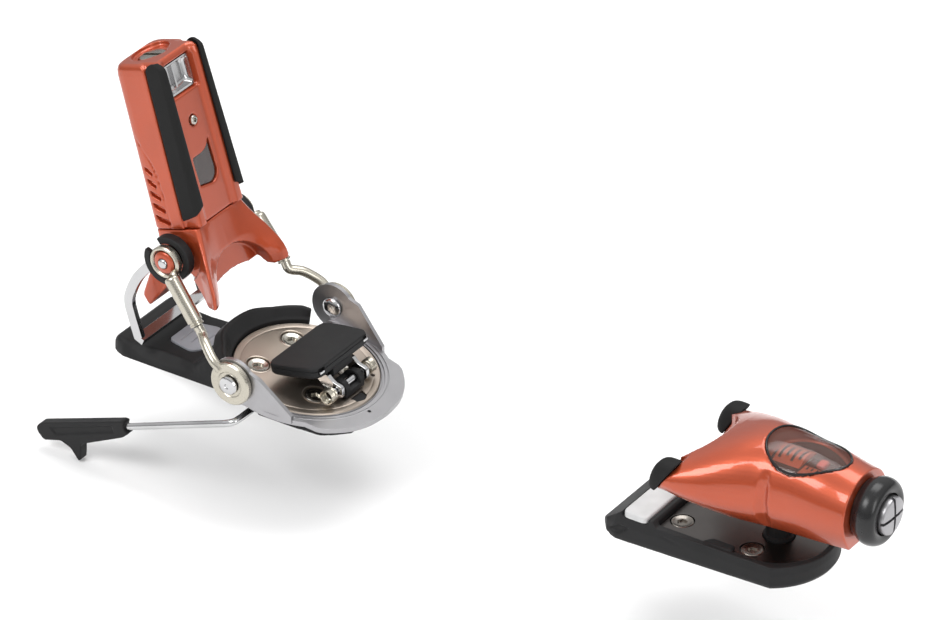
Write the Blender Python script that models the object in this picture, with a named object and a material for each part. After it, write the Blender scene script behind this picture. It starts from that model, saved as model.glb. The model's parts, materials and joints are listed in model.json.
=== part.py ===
"""Alpine turntable ski binding: a toe unit and a turntable heel unit with brake.

The frame is metres, +X towards the ski tip, +Y to the skier's left and +Z up. The origin is on
the heel base's underside, where it meets the ski, straight below the arms' hinge axis.
Lengths below are millimetres. A driving dimension is a constant here, and everything else is
worked out from these.
"""
from math import cos, hypot, pi, radians, sin

import bmesh
import bpy
from mathutils import Vector

MM = 0.001
GAP = 0.3                       # running gap between neighbouring pieces

# Heel base, which is screwed to the ski
BASE_REAR_X = -81.0
BASE_FRONT_X = 51.0
BASE_REAR_HALF = 24.3
BASE_WIDE_HALF = 31.6
DECK_Z = 7.0

# Turntable: a tilted plane, its disc, its ring and the two ears
TABLE_X = 12.0                  # swivel axis, ahead of the arms' hinge
TABLE_Z = 10.8                  # the disc's top at the swivel axis
TABLE_PITCH = radians(10.0)     # nose down
DISC_R = 33.8
DISC_FLANGE = 1.1
HUB_R = 27.6
RING_IN_R = 28.1
RING_R = 40.0
RING_BACK_R = 33.6              # where the ring runs under the disc and inside the guard
RING_TOP = -1.4                 # heights over the table's top plane
RING_BOTTOM = -2.7
LIP_TOP = -0.2
LIP_FRONT = 44.6
BASE_TOP = -3.1
GUARD_IN_R = 34.3
GUARD_REAR_R = 45.0             # the guard's foot
GUARD_CREST_R = 42.0
GUARD_TOP = 6.2
GUARD_LIP = 1.8                 # height of its inner edge, which the top face slopes down to
GUARD_END = 57.0                # degrees each side of the rear
GUARD_TAPER = 50.0              # where its outer edge starts to draw in

# Arms: hinge on the ears, rods, sleeves and the axle that carries the tower
HINGE_Z = 20.0
EAR_IN_Y = 38.0
EAR_OUT_Y = 40.0
EAR_R = 11.4
EAR_BEND_X = 14.0               # the ears are bent inwards from here to their tips
EAR_TIP_X = 31.8
EAR_TIP_IN_Y = 35.0
HINGE_PIN_R = 2.6
EYE_R = 10.4
EYE_IN_Y = 40.3
EYE_OUT_Y = 43.2
ROD_R = 2.3
SLEEVE_R = 3.6
AXLE_X = -44.5
AXLE_Z = 62.0
AXLE_R = 3.0
AXLE_HOLE_R = 3.3
SLEEVE_Y = 33.9
ARM_EYE_IN_Y = 26.6
ARM_EYE_OUT_Y = 30.0
ARM_EYE_R = 6.4

# Tower: heights and depths run along its own leaning axis, from the axle
TOWER_LEAN = radians(16.5)
TOWER_HALF_LOW = 19.8
TOWER_HALF_HIGH = 16.9
TOWER_REAR = -11.4
TOWER_PANEL = 13.6
TOWER_RAIL = 16.3
TOWER_TOP = 90.5
SEAM_T = 11.0
STRIP_THICK = 1.9
STRIP_PROUD = 2.1               # how far the strips stand in front of the rails
POCKET_T = (71.0, 87.0)
POCKET_HALF = 9.4
RIVET_T = 57.2
COVER_R = 13.6
BORE_R = 6.6
BORE_LOW = 13.0
BORE_HIGH = 85.0
TOOTH_T = -23.4
TOOTH_Y = 29.4

# Stirrup, the strap that the open tower stands on
STIRRUP_IN_Y = 23.2
STIRRUP_OUT_Y = 26.2
STIRRUP_WIDE = 4.8

# Brake
BRAKE_X = 4.0
BRAKE_Z = 2.6
WIRE_R = 1.65
WIRE_Y = 46.0
WIRE_DROP = radians(20.6)
WIRE_LENGTH = 57.0
FOOT_LENGTH = 54.0
PEDAL_HINGE_X = 35.0
PEDAL_HINGE_Z = 12.0
PEDAL_HALF = 22.0

# Toe unit
TOE_REAR_X = 187.0
TOE_FRONT_X = 288.5
TOE_HALF = 28.6
TOE_NOSE_R = 32.0
TOE_PLATE_Z = 11.0
TOE_AFD_Z = 15.6
AFD_X = (198.6, 211.2)
AFD_HALF = 27.4
TOE_PIVOT_X = 262.0
TOE_AXIS_Z = 40.5
TOE_NOSE_X = 304.5              # where the housing ends and the cap starts
TOE_BORE_R = 11.6
TRAY_Z = 52.8                   # underside of the scale under the window
CAP_R = 17.8
CAP_THICK = 11.5
TOE_SCREW_R = 8.9

# Screws
SCREW_HEAD_R = 5.2
SCREW_HEIGHT = 2.6
HEEL_REAR_SCREW = (-5.2, 13.4)
HEEL_FRONT_SCREW = (26.0, 13.0)
TOE_REAR_SCREW = (221.2, 14.0)
TOE_FRONT_SCREW = (258.4, 16.2)

ORANGE = (0.56, 0.115, 0.035)
BLACK = (0.022, 0.022, 0.023)
NICKEL = (0.62, 0.58, 0.52)
BRONZE = (0.46, 0.40, 0.34)
SILVER = (0.62, 0.62, 0.64)
GREY = (0.55, 0.56, 0.58)


def clear_scene():
    for item in list(bpy.data.objects):
        bpy.data.objects.remove(item, do_unlink=True)


def material(name, color, rough, metal, alpha=1.0):
    mat = bpy.data.materials.get(name)
    if mat is None:
        mat = bpy.data.materials.new(name)
        mat.use_nodes = True
        shader = mat.node_tree.nodes["Principled BSDF"]
        shader.inputs["Base Color"].default_value = (*color, 1.0)
        shader.inputs["Roughness"].default_value = rough
        shader.inputs["Metallic"].default_value = metal
        shader.inputs["Alpha"].default_value = alpha
        mat.diffuse_color = (*color, alpha)
    return mat


# ---------------------------------------------------------------- shapes as (points, faces)

def loft(rings):
    """A closed solid through rings of equal count, capped at both ends."""
    count = len(rings[0])
    points = [p for ring in rings for p in ring]
    faces = []
    for level in range(len(rings) - 1):
        low, high = level * count, (level + 1) * count
        for i in range(count):
            j = (i + 1) % count
            faces.append((low + i, low + j, high + j, high + i))
    last = (len(rings) - 1) * count
    faces.append(tuple(range(count)))
    faces.append(tuple(range(last, last + count)))
    return points, faces


def prism(outline, low, high, axis="Z"):
    """An outline of (a, b) pairs pushed along one axis."""
    def place(a, b, h):
        return {"X": (h, a, b), "Y": (a, h, b), "Z": (a, b, h)}[axis]
    return loft([[place(a, b, h) for a, b in outline] for h in (low, high)])


def turned(profile, centre=(0, 0, 0), axis="Z", sides=24, closed=False):
    """(radius, height) pairs turned round an axis. A closed profile makes a ring."""
    profile = list(profile)
    while profile[0][0] == 0 and profile[0][1] == profile[1][1]:
        profile.pop(0)
    while profile[-1][0] == 0 and profile[-1][1] == profile[-2][1]:
        profile.pop()
    points, rows = [], []
    for radius, height in profile:
        row = []
        steps = 1 if radius < 1e-6 else sides
        for k in range(steps):
            a = 2 * pi * k / sides
            u, v = radius * cos(a), radius * sin(a)
            spot = {"X": (height, u, v), "Y": (v, height, u), "Z": (u, v, height)}[axis]
            row.append(len(points))
            points.append(tuple(c + s for c, s in zip(centre, spot)))
        rows.append(row)
    faces = []
    pairs = list(zip(rows, rows[1:] + rows[:1]))
    for low, high in pairs if closed else pairs[:-1]:
        for k in range(sides):
            quad = [low[k % len(low)], low[(k + 1) % len(low)],
                    high[(k + 1) % len(high)], high[k % len(high)]]
            corners = list(dict.fromkeys(quad))
            if len(corners) > 2:
                faces.append(tuple(corners))
    for row in () if closed else (rows[0], rows[-1]):
        if len(row) > 1:
            faces.append(tuple(row))
    return points, faces


def tube(path, radius, sides=12):
    """A round bar along a path, mitred at its bends. radius may be a list, one per point."""
    path = [Vector(p) for p in path]
    radii = radius if isinstance(radius, (list, tuple)) else [radius] * len(path)
    rings = []
    side = None
    for i, spot in enumerate(path):
        before = (spot - path[i - 1]).normalized() if i else None
        after = (path[i + 1] - spot).normalized() if i + 1 < len(path) else None
        along = ((before or after) + (after or before)).normalized()
        if side is None:
            side = along.orthogonal().normalized()
        side = (side - along * side.dot(along)).normalized()
        other = along.cross(side)
        rings.append([tuple(spot + (side * cos(2 * pi * k / sides) + other * sin(2 * pi * k / sides))
                            * radii[i]) for k in range(sides)])
    return loft(rings)


def rounded(outline, radius, steps=3):
    """The outline with each corner replaced by an arc of about this radius."""
    out = []
    count = len(outline)
    for i in range(count):
        spot = Vector(outline[i])
        back = Vector(outline[i - 1]) - spot
        ahead = Vector(outline[(i + 1) % count]) - spot
        reach = min(radius, 0.48 * back.length, 0.48 * ahead.length)
        first, last = spot + back.normalized() * reach, spot + ahead.normalized() * reach
        for k in range(steps + 1):
            t = k / steps
            curve = first * (1 - t) ** 2 + spot * 2 * t * (1 - t) + last * t * t
            out.append(tuple(curve))
    return out


def arc(centre, radius, start, end, steps):
    """Points on an arc, angles in degrees."""
    return [(centre[0] + radius * cos(radians(start + (end - start) * k / steps)),
             centre[1] + radius * sin(radians(start + (end - start) * k / steps)))
            for k in range(steps + 1)]


def ribbon(path, width):
    """The outline of a flat strap along a 2-D path."""
    left, right = [], []
    for i, spot in enumerate(path):
        before = path[max(i - 1, 0)]
        after = path[min(i + 1, len(path) - 1)]
        dx, dy = after[0] - before[0], after[1] - before[1]
        size = hypot(dx, dy)
        nx, ny = -dy / size * width / 2, dx / size * width / 2
        left.append((spot[0] + nx, spot[1] + ny))
        right.append((spot[0] - nx, spot[1] - ny))
    return left + right[::-1]


# ---------------------------------------------------------------- objects

def add(name, shape, mat, parent=None, sharp=30.0):
    """A named object from a shape in its parent's frame."""
    points, faces = shape
    mesh = bpy.data.meshes.new(name)
    mesh.from_pydata([tuple(c * MM for c in p) for p in points], [], faces)
    work = bmesh.new()
    work.from_mesh(mesh)
    bmesh.ops.recalc_face_normals(work, faces=work.faces)
    work.to_mesh(mesh)
    work.free()
    mesh.materials.append(mat)
    mesh.shade_smooth()
    mesh.set_sharp_from_angle(angle=radians(sharp))
    item = bpy.data.objects.new(name, mesh)
    bpy.context.scene.collection.objects.link(item)
    item.parent = parent
    return item


def tool(target, shape, operation):
    """Cut a shape from an object, or fuse it on. The shape is in the object's own frame."""
    helper = add(f"{target.name}_tool", shape, target.data.materials[0], target)
    helper.hide_render = True
    helper.display_type = "WIRE"
    change = target.modifiers.new(operation.title(), "BOOLEAN")
    change.operation = operation
    change.solver = "EXACT"
    change.object = helper


def cut(target, shape):
    tool(target, shape, "DIFFERENCE")


def fuse(target, shape):
    tool(target, shape, "UNION")


def axis_empty(name, spot, pitch=0.0, parent=None):
    """An empty on a joint's axis. Pitch turns it about +Y, in radians."""
    empty = bpy.data.objects.new(name, None)
    empty.empty_display_size = 0.01
    bpy.context.scene.collection.objects.link(empty)
    empty.parent = parent
    empty.location = [c * MM for c in spot]
    empty.rotation_euler = (0.0, pitch, 0.0)
    return empty


def box(low, high):
    outline = [(low[0], low[1]), (high[0], low[1]), (high[0], high[1]), (low[0], high[1])]
    return prism(outline, low[2], high[2])


def sides():
    return (("left", 1.0), ("right", -1.0))


def mirror_y(shape, sign):
    points, faces = shape
    return [(x, y * sign, z) for x, y, z in points], faces


def screw_shape(height=SCREW_HEIGHT, head=SCREW_HEAD_R):
    """A countersunk head with a hexagon-like drive recess, on its own axis, top at zero."""
    return turned([(0, -height), (head * 0.55, -height), (head, -0.9), (head, -0.25),
                   (head - 0.35, 0.0), (2.3, 0.0), (2.0, -1.3), (0, -1.3)], sides=16)


# ---------------------------------------------------------------- heel: fixed pieces

def table_height(x, over_plane=0.0):
    """World height of a point over the table's plane at a world X."""
    return TABLE_Z + over_plane / cos(TABLE_PITCH) - (x - TABLE_X) * sin(TABLE_PITCH) / cos(TABLE_PITCH)


def build_heel_base(black):
    """A long sole with a raised rear lip, which rises to carry the tilted turntable."""
    ramp_x = TABLE_X - GUARD_REAR_R - 2.0
    ramp_top = table_height(ramp_x + 8, BASE_TOP)
    stations = [(BASE_REAR_X, 19.5, 3.6), (BASE_REAR_X + 2.5, 21.6, 8.2),
                (BASE_REAR_X + 7, BASE_REAR_HALF, 8.9),
                (BASE_REAR_X + 12, BASE_REAR_HALF, DECK_Z), (ramp_x - 6, BASE_REAR_HALF, DECK_Z),
                (ramp_x, BASE_REAR_HALF, DECK_Z + 0.6), (ramp_x + 4, BASE_REAR_HALF, ramp_top),
                (ramp_x + 8, BASE_REAR_HALF, ramp_top)]
    front_half = ((-16.0, BASE_REAR_HALF), (-3.0, 27.6), (7.0, BASE_WIDE_HALF), (42.0, BASE_WIDE_HALF),
                  (BASE_FRONT_X, 21.0))
    stations += [(x, half, table_height(x, BASE_TOP)) for x, half in front_half]
    rings = []
    for x, half, top in stations:
        chamfer = min(1.6, 0.45 * top)
        rings.append([(x, -half, 0), (x, half, 0), (x, half, top - chamfer),
                      (x, half - chamfer, top), (x, -half + chamfer, top), (x, -half, top - chamfer)])
    base = add("heel_base", loft(rings), black)
    for sign in (1, -1):
        y_in, y_out = sorted((sign * 13.0, sign * 36.0))
        cut(base, box((BRAKE_X - 2.4, y_in, -1.0), (BRAKE_X + 2.4, y_out, BRAKE_Z + 2.3)))
    # a shallow seat for the grey inlay
    cut(base, prism(inlay_outline(GAP), DECK_Z - 1.2, DECK_Z + 4))


def inlay_outline(grow=0.0):
    return rounded([(-58 - grow, -9 - grow), (-44 + grow, -12 - grow), (-38 + grow, -6),
                    (-38 + grow, 6), (-44 + grow, 12 + grow), (-58 - grow, 9 + grow)], 2.5, 2)


def build_guard(black, table):
    """A band behind the disc that turns with the ring, with a face that slopes down to the disc."""
    half_turn = [GUARD_END, GUARD_TAPER, 40, 30, 20, 10]
    angles = [180 - off for off in half_turn] + [180] + [180 + off for off in half_turn[::-1]]
    return add("heel_guard", loft([guard_section(angle) for angle in angles]), black, table)


def guard_section(angle):
    draw_in = 3.5 * max(0.0, (abs(angle - 180) - GUARD_TAPER) / (GUARD_END - GUARD_TAPER))
    outer, crest, low = GUARD_REAR_R - draw_in, GUARD_CREST_R - draw_in, BASE_TOP + GAP
    profile = [(GUARD_IN_R, low), (outer, low), (outer, GUARD_LIP), (crest, GUARD_TOP), (GUARD_IN_R, GUARD_LIP)]
    a = radians(angle)
    return [(r * cos(a), r * sin(a), h) for r, h in profile]


def build_disc(bronze, table):
    profile = [(0, BASE_TOP + GAP), (HUB_R, BASE_TOP + GAP), (HUB_R, RING_TOP + GAP),
               (DISC_R, RING_TOP + GAP), (DISC_R, -0.3), (DISC_R - 0.4, 0.0), (0, 0.0)]
    disc = add("heel_disc", turned(profile, sides=48), bronze, table)
    for x, y in (HEEL_REAR_SCREW, HEEL_FRONT_SCREW):
        u = (x - TABLE_X) / cos(TABLE_PITCH)
        for sign in (1, -1):
            seat = turned([(0, -2.75), (3.3, -2.75), (SCREW_HEAD_R + 0.3, -1.2),
                           (SCREW_HEAD_R + 0.5, 1.0), (0, 1.0)], (u, y * sign, 0.0), sides=20)
            cut(disc, seat)


def build_heel_screws(steel, table):
    for row, (x, y) in (("rear", HEEL_REAR_SCREW), ("front", HEEL_FRONT_SCREW)):
        u = (x - TABLE_X) / cos(TABLE_PITCH)
        for side, sign in sides():
            item = add(f"heel_screw_{row}_{side}", screw_shape(2.1, SCREW_HEAD_R - 0.1), steel, table)
            item.location = (u * MM, y * sign * MM, -0.35 * MM)


# ---------------------------------------------------------------- heel: turntable

def ring_outline():
    """The ring's outer edge: a circle that runs out into the blunt front lip."""
    edge = (arc((0, 0), RING_R, 56, 110, 8) + arc((0, 0), RING_BACK_R, 117, 243, 18) +
            arc((0, 0), RING_R, 250, 304, 8))
    front = [(28.6, -32.4), (32.6, -29.8), (39.4, -21.6), (43.2, -12.6), (LIP_FRONT, -3.0),
             (LIP_FRONT, 3.0), (43.2, 12.6), (39.4, 21.6), (32.6, 29.8), (28.6, 32.4)]
    return edge + front


def build_ring(silver, table):
    outline = ring_outline()
    ring = add("turntable_ring", prism(outline, RING_BOTTOM, LIP_TOP), silver, table)
    cut(ring, turned([(0, -6), (RING_IN_R, -6), (RING_IN_R, RING_TOP), (DISC_R + 0.45, RING_TOP),
                      (DISC_R + 0.45, 3), (0, 3)], sides=48))
    hinge_u, hinge_w = table_local(0.0, HINGE_Z)
    for sign in (1, -1):
        fuse(ring, mirror_y(ear_shape(), sign))
        hole = turned([(0, 30), (HINGE_PIN_R + GAP, 30), (HINGE_PIN_R + GAP, 50), (0, 50)],
                      (hinge_u, 0, hinge_w), "Y", 20)
        cut(ring, mirror_y(hole, sign))


def table_local(x, z):
    """World X and Z of a point, in the table's own plane and height."""
    dx, dz = x - TABLE_X, z - TABLE_Z
    return (dx * cos(TABLE_PITCH) - dz * sin(TABLE_PITCH), dx * sin(TABLE_PITCH) + dz * cos(TABLE_PITCH))


def ear_shape():
    """The left ear in the table's frame: flat round the hinge, then bent inwards to a low tip."""
    crown = arc(table_local(0.0, HINGE_Z), EAR_R, 48, 262, 14)
    flat = [table_local(EAR_BEND_X, 25.2)] + crown + [table_local(3.0, 9.6), table_local(EAR_BEND_X, 8.3)]
    tip = [table_local(EAR_TIP_X, 6.2), table_local(EAR_TIP_X, 9.6)]
    side_view = [(u, w, EAR_IN_Y) for u, w in flat] + [(u, w, EAR_TIP_IN_Y) for u, w in tip]
    thick, count = EAR_OUT_Y - EAR_IN_Y, len(side_view)
    points = [(u, y, w) for u, w, y in side_view] + [(u, y + thick, w) for u, w, y in side_view]
    faces = [(i, (i + 1) % count, (i + 1) % count + count, i + count) for i in range(count)]
    for first in (0, count):
        faces.append(tuple(range(first, first + count - 2)))
        faces.append((first + count - 3, first + count - 2, first + count - 1, first))
    return points, faces


def build_hinge_pins(nickel, turntable):
    """Domed inside the ears, and riveted over outside the arms' eyes."""
    hinge_u, hinge_w = table_local(0.0, HINGE_Z)
    inner = EAR_IN_Y - GAP
    outer = EYE_OUT_Y + GAP
    profile = [(0, inner - 2.3), (2.8, inner - 2.0), (4.3, inner - 1.2), (5.0, inner), (HINGE_PIN_R, inner),
               (HINGE_PIN_R, outer), (4.4, outer), (4.4, outer + 1.3), (3.9, outer + 1.8),
               (1.2, outer + 1.8), (0.9, outer + 1.1), (0, outer + 1.1)]
    for side, sign in sides():
        pin = turned(profile, (hinge_u, 0, hinge_w), "Y", 16)
        add(f"hinge_pin_{side}", mirror_y(pin, sign), nickel, turntable)


# ---------------------------------------------------------------- heel: arms

def build_arms(nickel, steel, black, hinge):
    rise = AXLE_Z - HINGE_Z
    low = Vector((-23.6, SLEEVE_Y + 0.2, 18.6))
    high = Vector((-38.2, SLEEVE_Y - 0.6, 38.6))
    for side, sign in sides():
        eye = turned([(HINGE_PIN_R + GAP, EYE_IN_Y), (EYE_R, EYE_IN_Y), (EYE_R, EYE_OUT_Y - 0.4),
                      (EYE_R - 0.4, EYE_OUT_Y), (HINGE_PIN_R + GAP, EYE_OUT_Y)],
                     axis="Y", sides=32, closed=True)
        item = add(f"arm_rod_{side}", mirror_y(eye, sign), nickel, hinge)
        along = (high - low).normalized()
        path = [(-5.4, 42.7, 6.0), (-11.2, 42.4, 9.8), (-16.8, 37.4, 12.2), low - along * 4.4,
                low - along * GAP]
        fuse(item, mirror_y(tube(path, ROD_R, 12), sign))
        sleeve = tube([low, low + along * 0.8, high - along * 0.8, high],
                      [SLEEVE_R - 0.5, SLEEVE_R, SLEEVE_R, SLEEVE_R - 0.5], 20)
        item = add(f"arm_sleeve_{side}", mirror_y(sleeve, sign), steel, hinge)
        neck = tube([high - along * 0.6, (-38.0, 31.0, 39.0), (-40.0, 28.4, 39.6)], [2.6, 2.2, 2.0], 12)
        fuse(item, mirror_y(neck, sign))
        ring = turned([(0, ARM_EYE_IN_Y), (ARM_EYE_R, ARM_EYE_IN_Y), (ARM_EYE_R, ARM_EYE_OUT_Y - 0.6),
                       (ARM_EYE_R - 1.2, ARM_EYE_OUT_Y), (0, ARM_EYE_OUT_Y)], (AXLE_X, 0, rise), "Y", 24)
        fuse(item, mirror_y(ring, sign))
        hole = turned([(0, 20), (AXLE_HOLE_R, 20), (AXLE_HOLE_R, 40), (0, 40)], (AXLE_X, 0, rise), "Y", 20)
        cut(item, mirror_y(hole, sign))
        cam = arc((AXLE_X, rise), 10.6, 150, 284, 12) + arc((AXLE_X, rise), 6.8, 284, 150, 8)
        y_low, y_high = sorted((sign * ARM_EYE_IN_Y, sign * (ARM_EYE_OUT_Y - 0.4)))
        add(f"pivot_cam_{side}", prism(cam, y_low, y_high, "Y"), black, hinge)
    half = [(AXLE_R, ARM_EYE_OUT_Y + GAP), (3.9, ARM_EYE_OUT_Y + GAP), (3.9, ARM_EYE_OUT_Y + 1.2),
            (3.2, ARM_EYE_OUT_Y + 1.9), (0, ARM_EYE_OUT_Y + 1.9)]
    profile = [(r, -h) for r, h in half[::-1]] + half
    add("pivot_axle", turned(profile, (AXLE_X, 0, rise), "Y", 20), steel, hinge)


def build_stirrup(steel, axle):
    """A strap with an eye on each side of the tower and a cross bar at its foot."""
    path = [(-5.0, -2.4), (-11.0, -7.0), (-18.2, -15.2), (-22.4, -24.0), (-23.6, -29.6),
            (-22.4, -35.6), (-18.4, -47.6)]
    leg = ribbon(path, STIRRUP_WIDE)
    item = add("stirrup", prism(leg, STIRRUP_IN_Y, STIRRUP_OUT_Y, "Y"), steel, axle)
    fuse(item, prism(leg, -STIRRUP_OUT_Y, -STIRRUP_IN_Y, "Y"))
    foot = ribbon([(-20.2, -47.2), (-15.6, -49.2)], 3.2)
    fuse(item, prism(foot, -STIRRUP_OUT_Y, STIRRUP_OUT_Y, "Y"))
    for sign in (1, -1):
        eye = turned([(0, STIRRUP_IN_Y), (6.2, STIRRUP_IN_Y), (6.2, STIRRUP_OUT_Y), (0, STIRRUP_OUT_Y)],
                     axis="Y")
        fuse(item, mirror_y(eye, sign))
    cut(item, turned([(0, -40), (AXLE_HOLE_R, -40), (AXLE_HOLE_R, 40), (0, 40)], axis="Y", sides=20))


# ---------------------------------------------------------------- heel: tower, in its leaning frame

def tower_half(t):
    return TOWER_HALF_LOW + (TOWER_HALF_HIGH - TOWER_HALF_LOW) * (t - SEAM_T) / (TOWER_TOP - SEAM_T)


def tower_section(t, shrink=0.0, top=0.0):
    """(s, y) outline at height t: round rear corners, two front rails and a panel between them."""
    half = tower_half(t) - shrink
    rear, panel, rail = TOWER_REAR + shrink, TOWER_PANEL - shrink, TOWER_RAIL - shrink - top
    side = [(rear, 0.60 * half), (rear + 0.5, half - 2.4), (rear + 2.4, half - 0.5), (rear + 5.0, half),
            (rail - 9.0, half), (rail - 8.2, half - STRIP_THICK), (rail - 1.6, half - STRIP_THICK),
            (rail, half - STRIP_THICK - 1.6), (rail, min(12.2, half - STRIP_THICK - 2.2)),
            (panel, min(10.6, half - STRIP_THICK - 3.8))]
    return side + [(s, -y) for s, y in side[::-1]]


def build_tower_housing(orange, tower):
    levels = [(SEAM_T + GAP, 0.0, 0.0), (24, 0.0, 0.0), (56, 0.0, 0.0), (86.5, 0.0, 0.0),
              (89.5, 0.5, 0.4), (TOWER_TOP, 1.6, 1.0)]
    rings = [[(s, y, t) for s, y in tower_section(t, shrink, top)] for t, shrink, top in levels]
    housing = add("tower_housing", loft(rings), orange, tower)
    cut(housing, turned([(0, BORE_LOW), (BORE_R, BORE_LOW), (BORE_R, BORE_HIGH), (7.0, BORE_HIGH + 0.4),
                         (7.0, TOWER_TOP + 2), (0, TOWER_TOP + 2)], sides=24))
    cut(housing, prism(pocket_outline(), TOWER_PANEL - 5.3, 24.0, "X"))
    cut(housing, prism(window_outline(GAP), 4.0, 24.0, "X"))
    cut(housing, turned([(0, TOWER_PANEL - 3.2), (2.6, TOWER_PANEL - 3.2), (2.6, 20), (0, 20)],
                        (0, 0, RIVET_T), "X", 16))
    for k in range(5):
        for sign in (1, -1):
            low, high = sorted((sign * (TOWER_HALF_LOW - 2.6), sign * 30.0))
            cut(housing, prism(vent_outline(k), low, high, "Y"))


def pocket_outline(inset=0.0):
    half, low, high = POCKET_HALF - inset, POCKET_T[0] + inset, POCKET_T[1] - inset
    return rounded([(-half, low), (half, low), (half, high), (-half, high)], 2.0, 2)


def vent_outline(k):
    """One of five slanted vents in the tower's side, (s, t)."""
    t = 41.8 - 5.95 * k
    reach = -3.9 + 0.7 * k
    return [(-7.5, t), (reach, t - 2.6), (reach, t - 4.8), (-7.5, t - 1.9)]


def window_outline(grow=0.0):
    return rounded([(-6.2 - grow, 27 - grow), (2.0, 24.6 - grow), (6.2 + grow, 28 - grow),
                    (6.2 + grow, 44 + grow), (-1.0, 40 + grow), (-6.2 - grow, 40 + grow)], 1.8, 2)


def strip_section(t, retreat, sign):
    """A strip's L-shaped section, over the rail's front and round onto the tower's side."""
    half = tower_half(t)
    inner_y, outer_y, end_y = half - STRIP_THICK + GAP, half + 0.35, 12.4 + 2.6 * retreat
    rear, front = TOWER_RAIL - 8.0, TOWER_RAIL + STRIP_PROUD - retreat
    face = TOWER_RAIL + GAP
    outline = [(rear, outer_y), (front - 1.4, outer_y), (front, outer_y - 1.6), (front, end_y + 0.8),
               (front - 0.4, end_y), (face, end_y), (face, inner_y - 1.5), (face - 1.7, inner_y),
               (rear, inner_y)]
    return [(s, sign * y, t) for s, y in outline]


def build_tower_trim(black, nickel, glass, tower):
    for side, sign in sides():
        levels = ((17.0, 1.2), (24.0, 0.0), (86.0, 0.0), (91.2, 1.2))
        rings = [strip_section(t, retreat, sign) for t, retreat in levels]
        add(f"side_strip_{side}", loft(rings), black, tower)
    block = prism(pocket_outline(GAP), TOWER_PANEL - 5.0, TOWER_PANEL - 0.4, "X")
    pocket = add("pole_pocket", block, nickel, tower)
    dish = []
    for s, half, low, high in ((TOWER_PANEL - 3.8, 6.4, 75.0, 84.4), (TOWER_PANEL + 1.2, 8.6, 72.4, 86.2)):
        outline = rounded([(-half, low), (half, low), (half, high), (-half, high)], 2.0, 2)
        dish.append([(s, y, t) for y, t in outline])
    cut(pocket, loft(dish))
    face = TOWER_PANEL + 0.6
    rivet = turned([(0, face - 3.4), (2.3, face - 3.4), (2.3, face - 0.2), (1.8, face + 0.4), (1.0, face + 0.4),
                    (0.8, face - 0.4), (0, face - 0.4)], (0, 0, RIVET_T), "X", 16)
    add("tower_rivet", rivet, nickel, tower)
    add("heel_window", prism(window_outline(), TOWER_PANEL - 2.4, TOWER_PANEL - 1.2, "X"), glass, tower)


def build_cup(orange, tower):
    """The heel cup: the tower's section at the seam, flaring down and forward to two teeth."""
    rings = []
    for t, half, corner_s, corner_y, centre_s, rear in (
            (SEAM_T, TOWER_HALF_LOW, 14.3, 17.4, TOWER_PANEL, TOWER_REAR),
            (4.0, 19.9, 16.0, 20.4, 13.8, TOWER_REAR), (-4.0, 20.0, 18.6, 23.8, 13.8, TOWER_REAR + 0.6),
            (-12.0, 20.2, 21.2, 27.0, 13.8, -7.0),
            (-18.0, 21.0, 22.6, 28.8, 13.6, -5.0), (TOOTH_T, 22.0, 22.0, TOOTH_Y, 13.2, -3.0)):
        side = [(rear, 0.6 * half), (rear + 2.0, half - 1.2), (rear + 5.0, half), (6.6, half),
                (0.5 * (6.6 + corner_s), half + 0.42 * (corner_y - half)), (corner_s - 2.2, corner_y - 0.4),
                (corner_s - 0.4, corner_y - 1.0), (corner_s - 0.2, corner_y - 3.2),
                (0.45 * corner_s + 0.55 * centre_s, 0.62 * corner_y), (centre_s, 0.3 * corner_y)]
        rings.append([(s, y, t) for s, y in side + [(s, -y) for s, y in side[::-1]]])
    cup = add("heel_cup", loft(rings[::-1]), orange, tower)
    arch = [(25.2 * cos(radians(a)), -31.0 + 14.2 * sin(radians(a))) for a in range(0, 181, 12)]
    cut(cup, prism(arch + [(-25.2, -50), (25.2, -50)], -30, 40, "X"))
    under = [(-30.0, -8.5), (4.0, -10.0), (17.0, -24.6), (17.0, -50), (-30, -50)]
    cut(cup, prism(under, -50, 50, "Y"))
    # the tail, a cam behind the axle, which the stirrup's loop straddles
    tail = [(-8.0, 2.0), (-8.0, -7.8), (-17.0, -20.0), (-30.5, -30.0), (-32.6, -24.0), (-20.0, -6.0),
            (-9.4, 4.0)]
    fuse(cup, prism(tail, -14.0, 14.0, "Y"))
    cut(cup, turned([(0, -40), (AXLE_HOLE_R, -40), (AXLE_HOLE_R, 40), (0, 40)], axis="Y", sides=20))
    for sign in (1, -1):
        seat_r, seat_y = COVER_R + 0.4, TOWER_HALF_LOW + 0.4
        seat = turned([(0, seat_y), (seat_r, seat_y), (seat_r, 40), (0, 40)], axis="Y", sides=32)
        cut(cup, mirror_y(seat, sign))


def build_pivot_covers(black, tower):
    for side, sign in sides():
        cover = arc((0, 0), COVER_R, -62, 118, 14) + arc((0, 0), 7.2, 118, -62, 10)
        low, high = sorted((sign * (TOWER_HALF_LOW + 0.7), sign * (STIRRUP_IN_Y - GAP)))
        add(f"pivot_cover_{side}", prism(cover, low, high, "Y"), black, tower)


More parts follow.
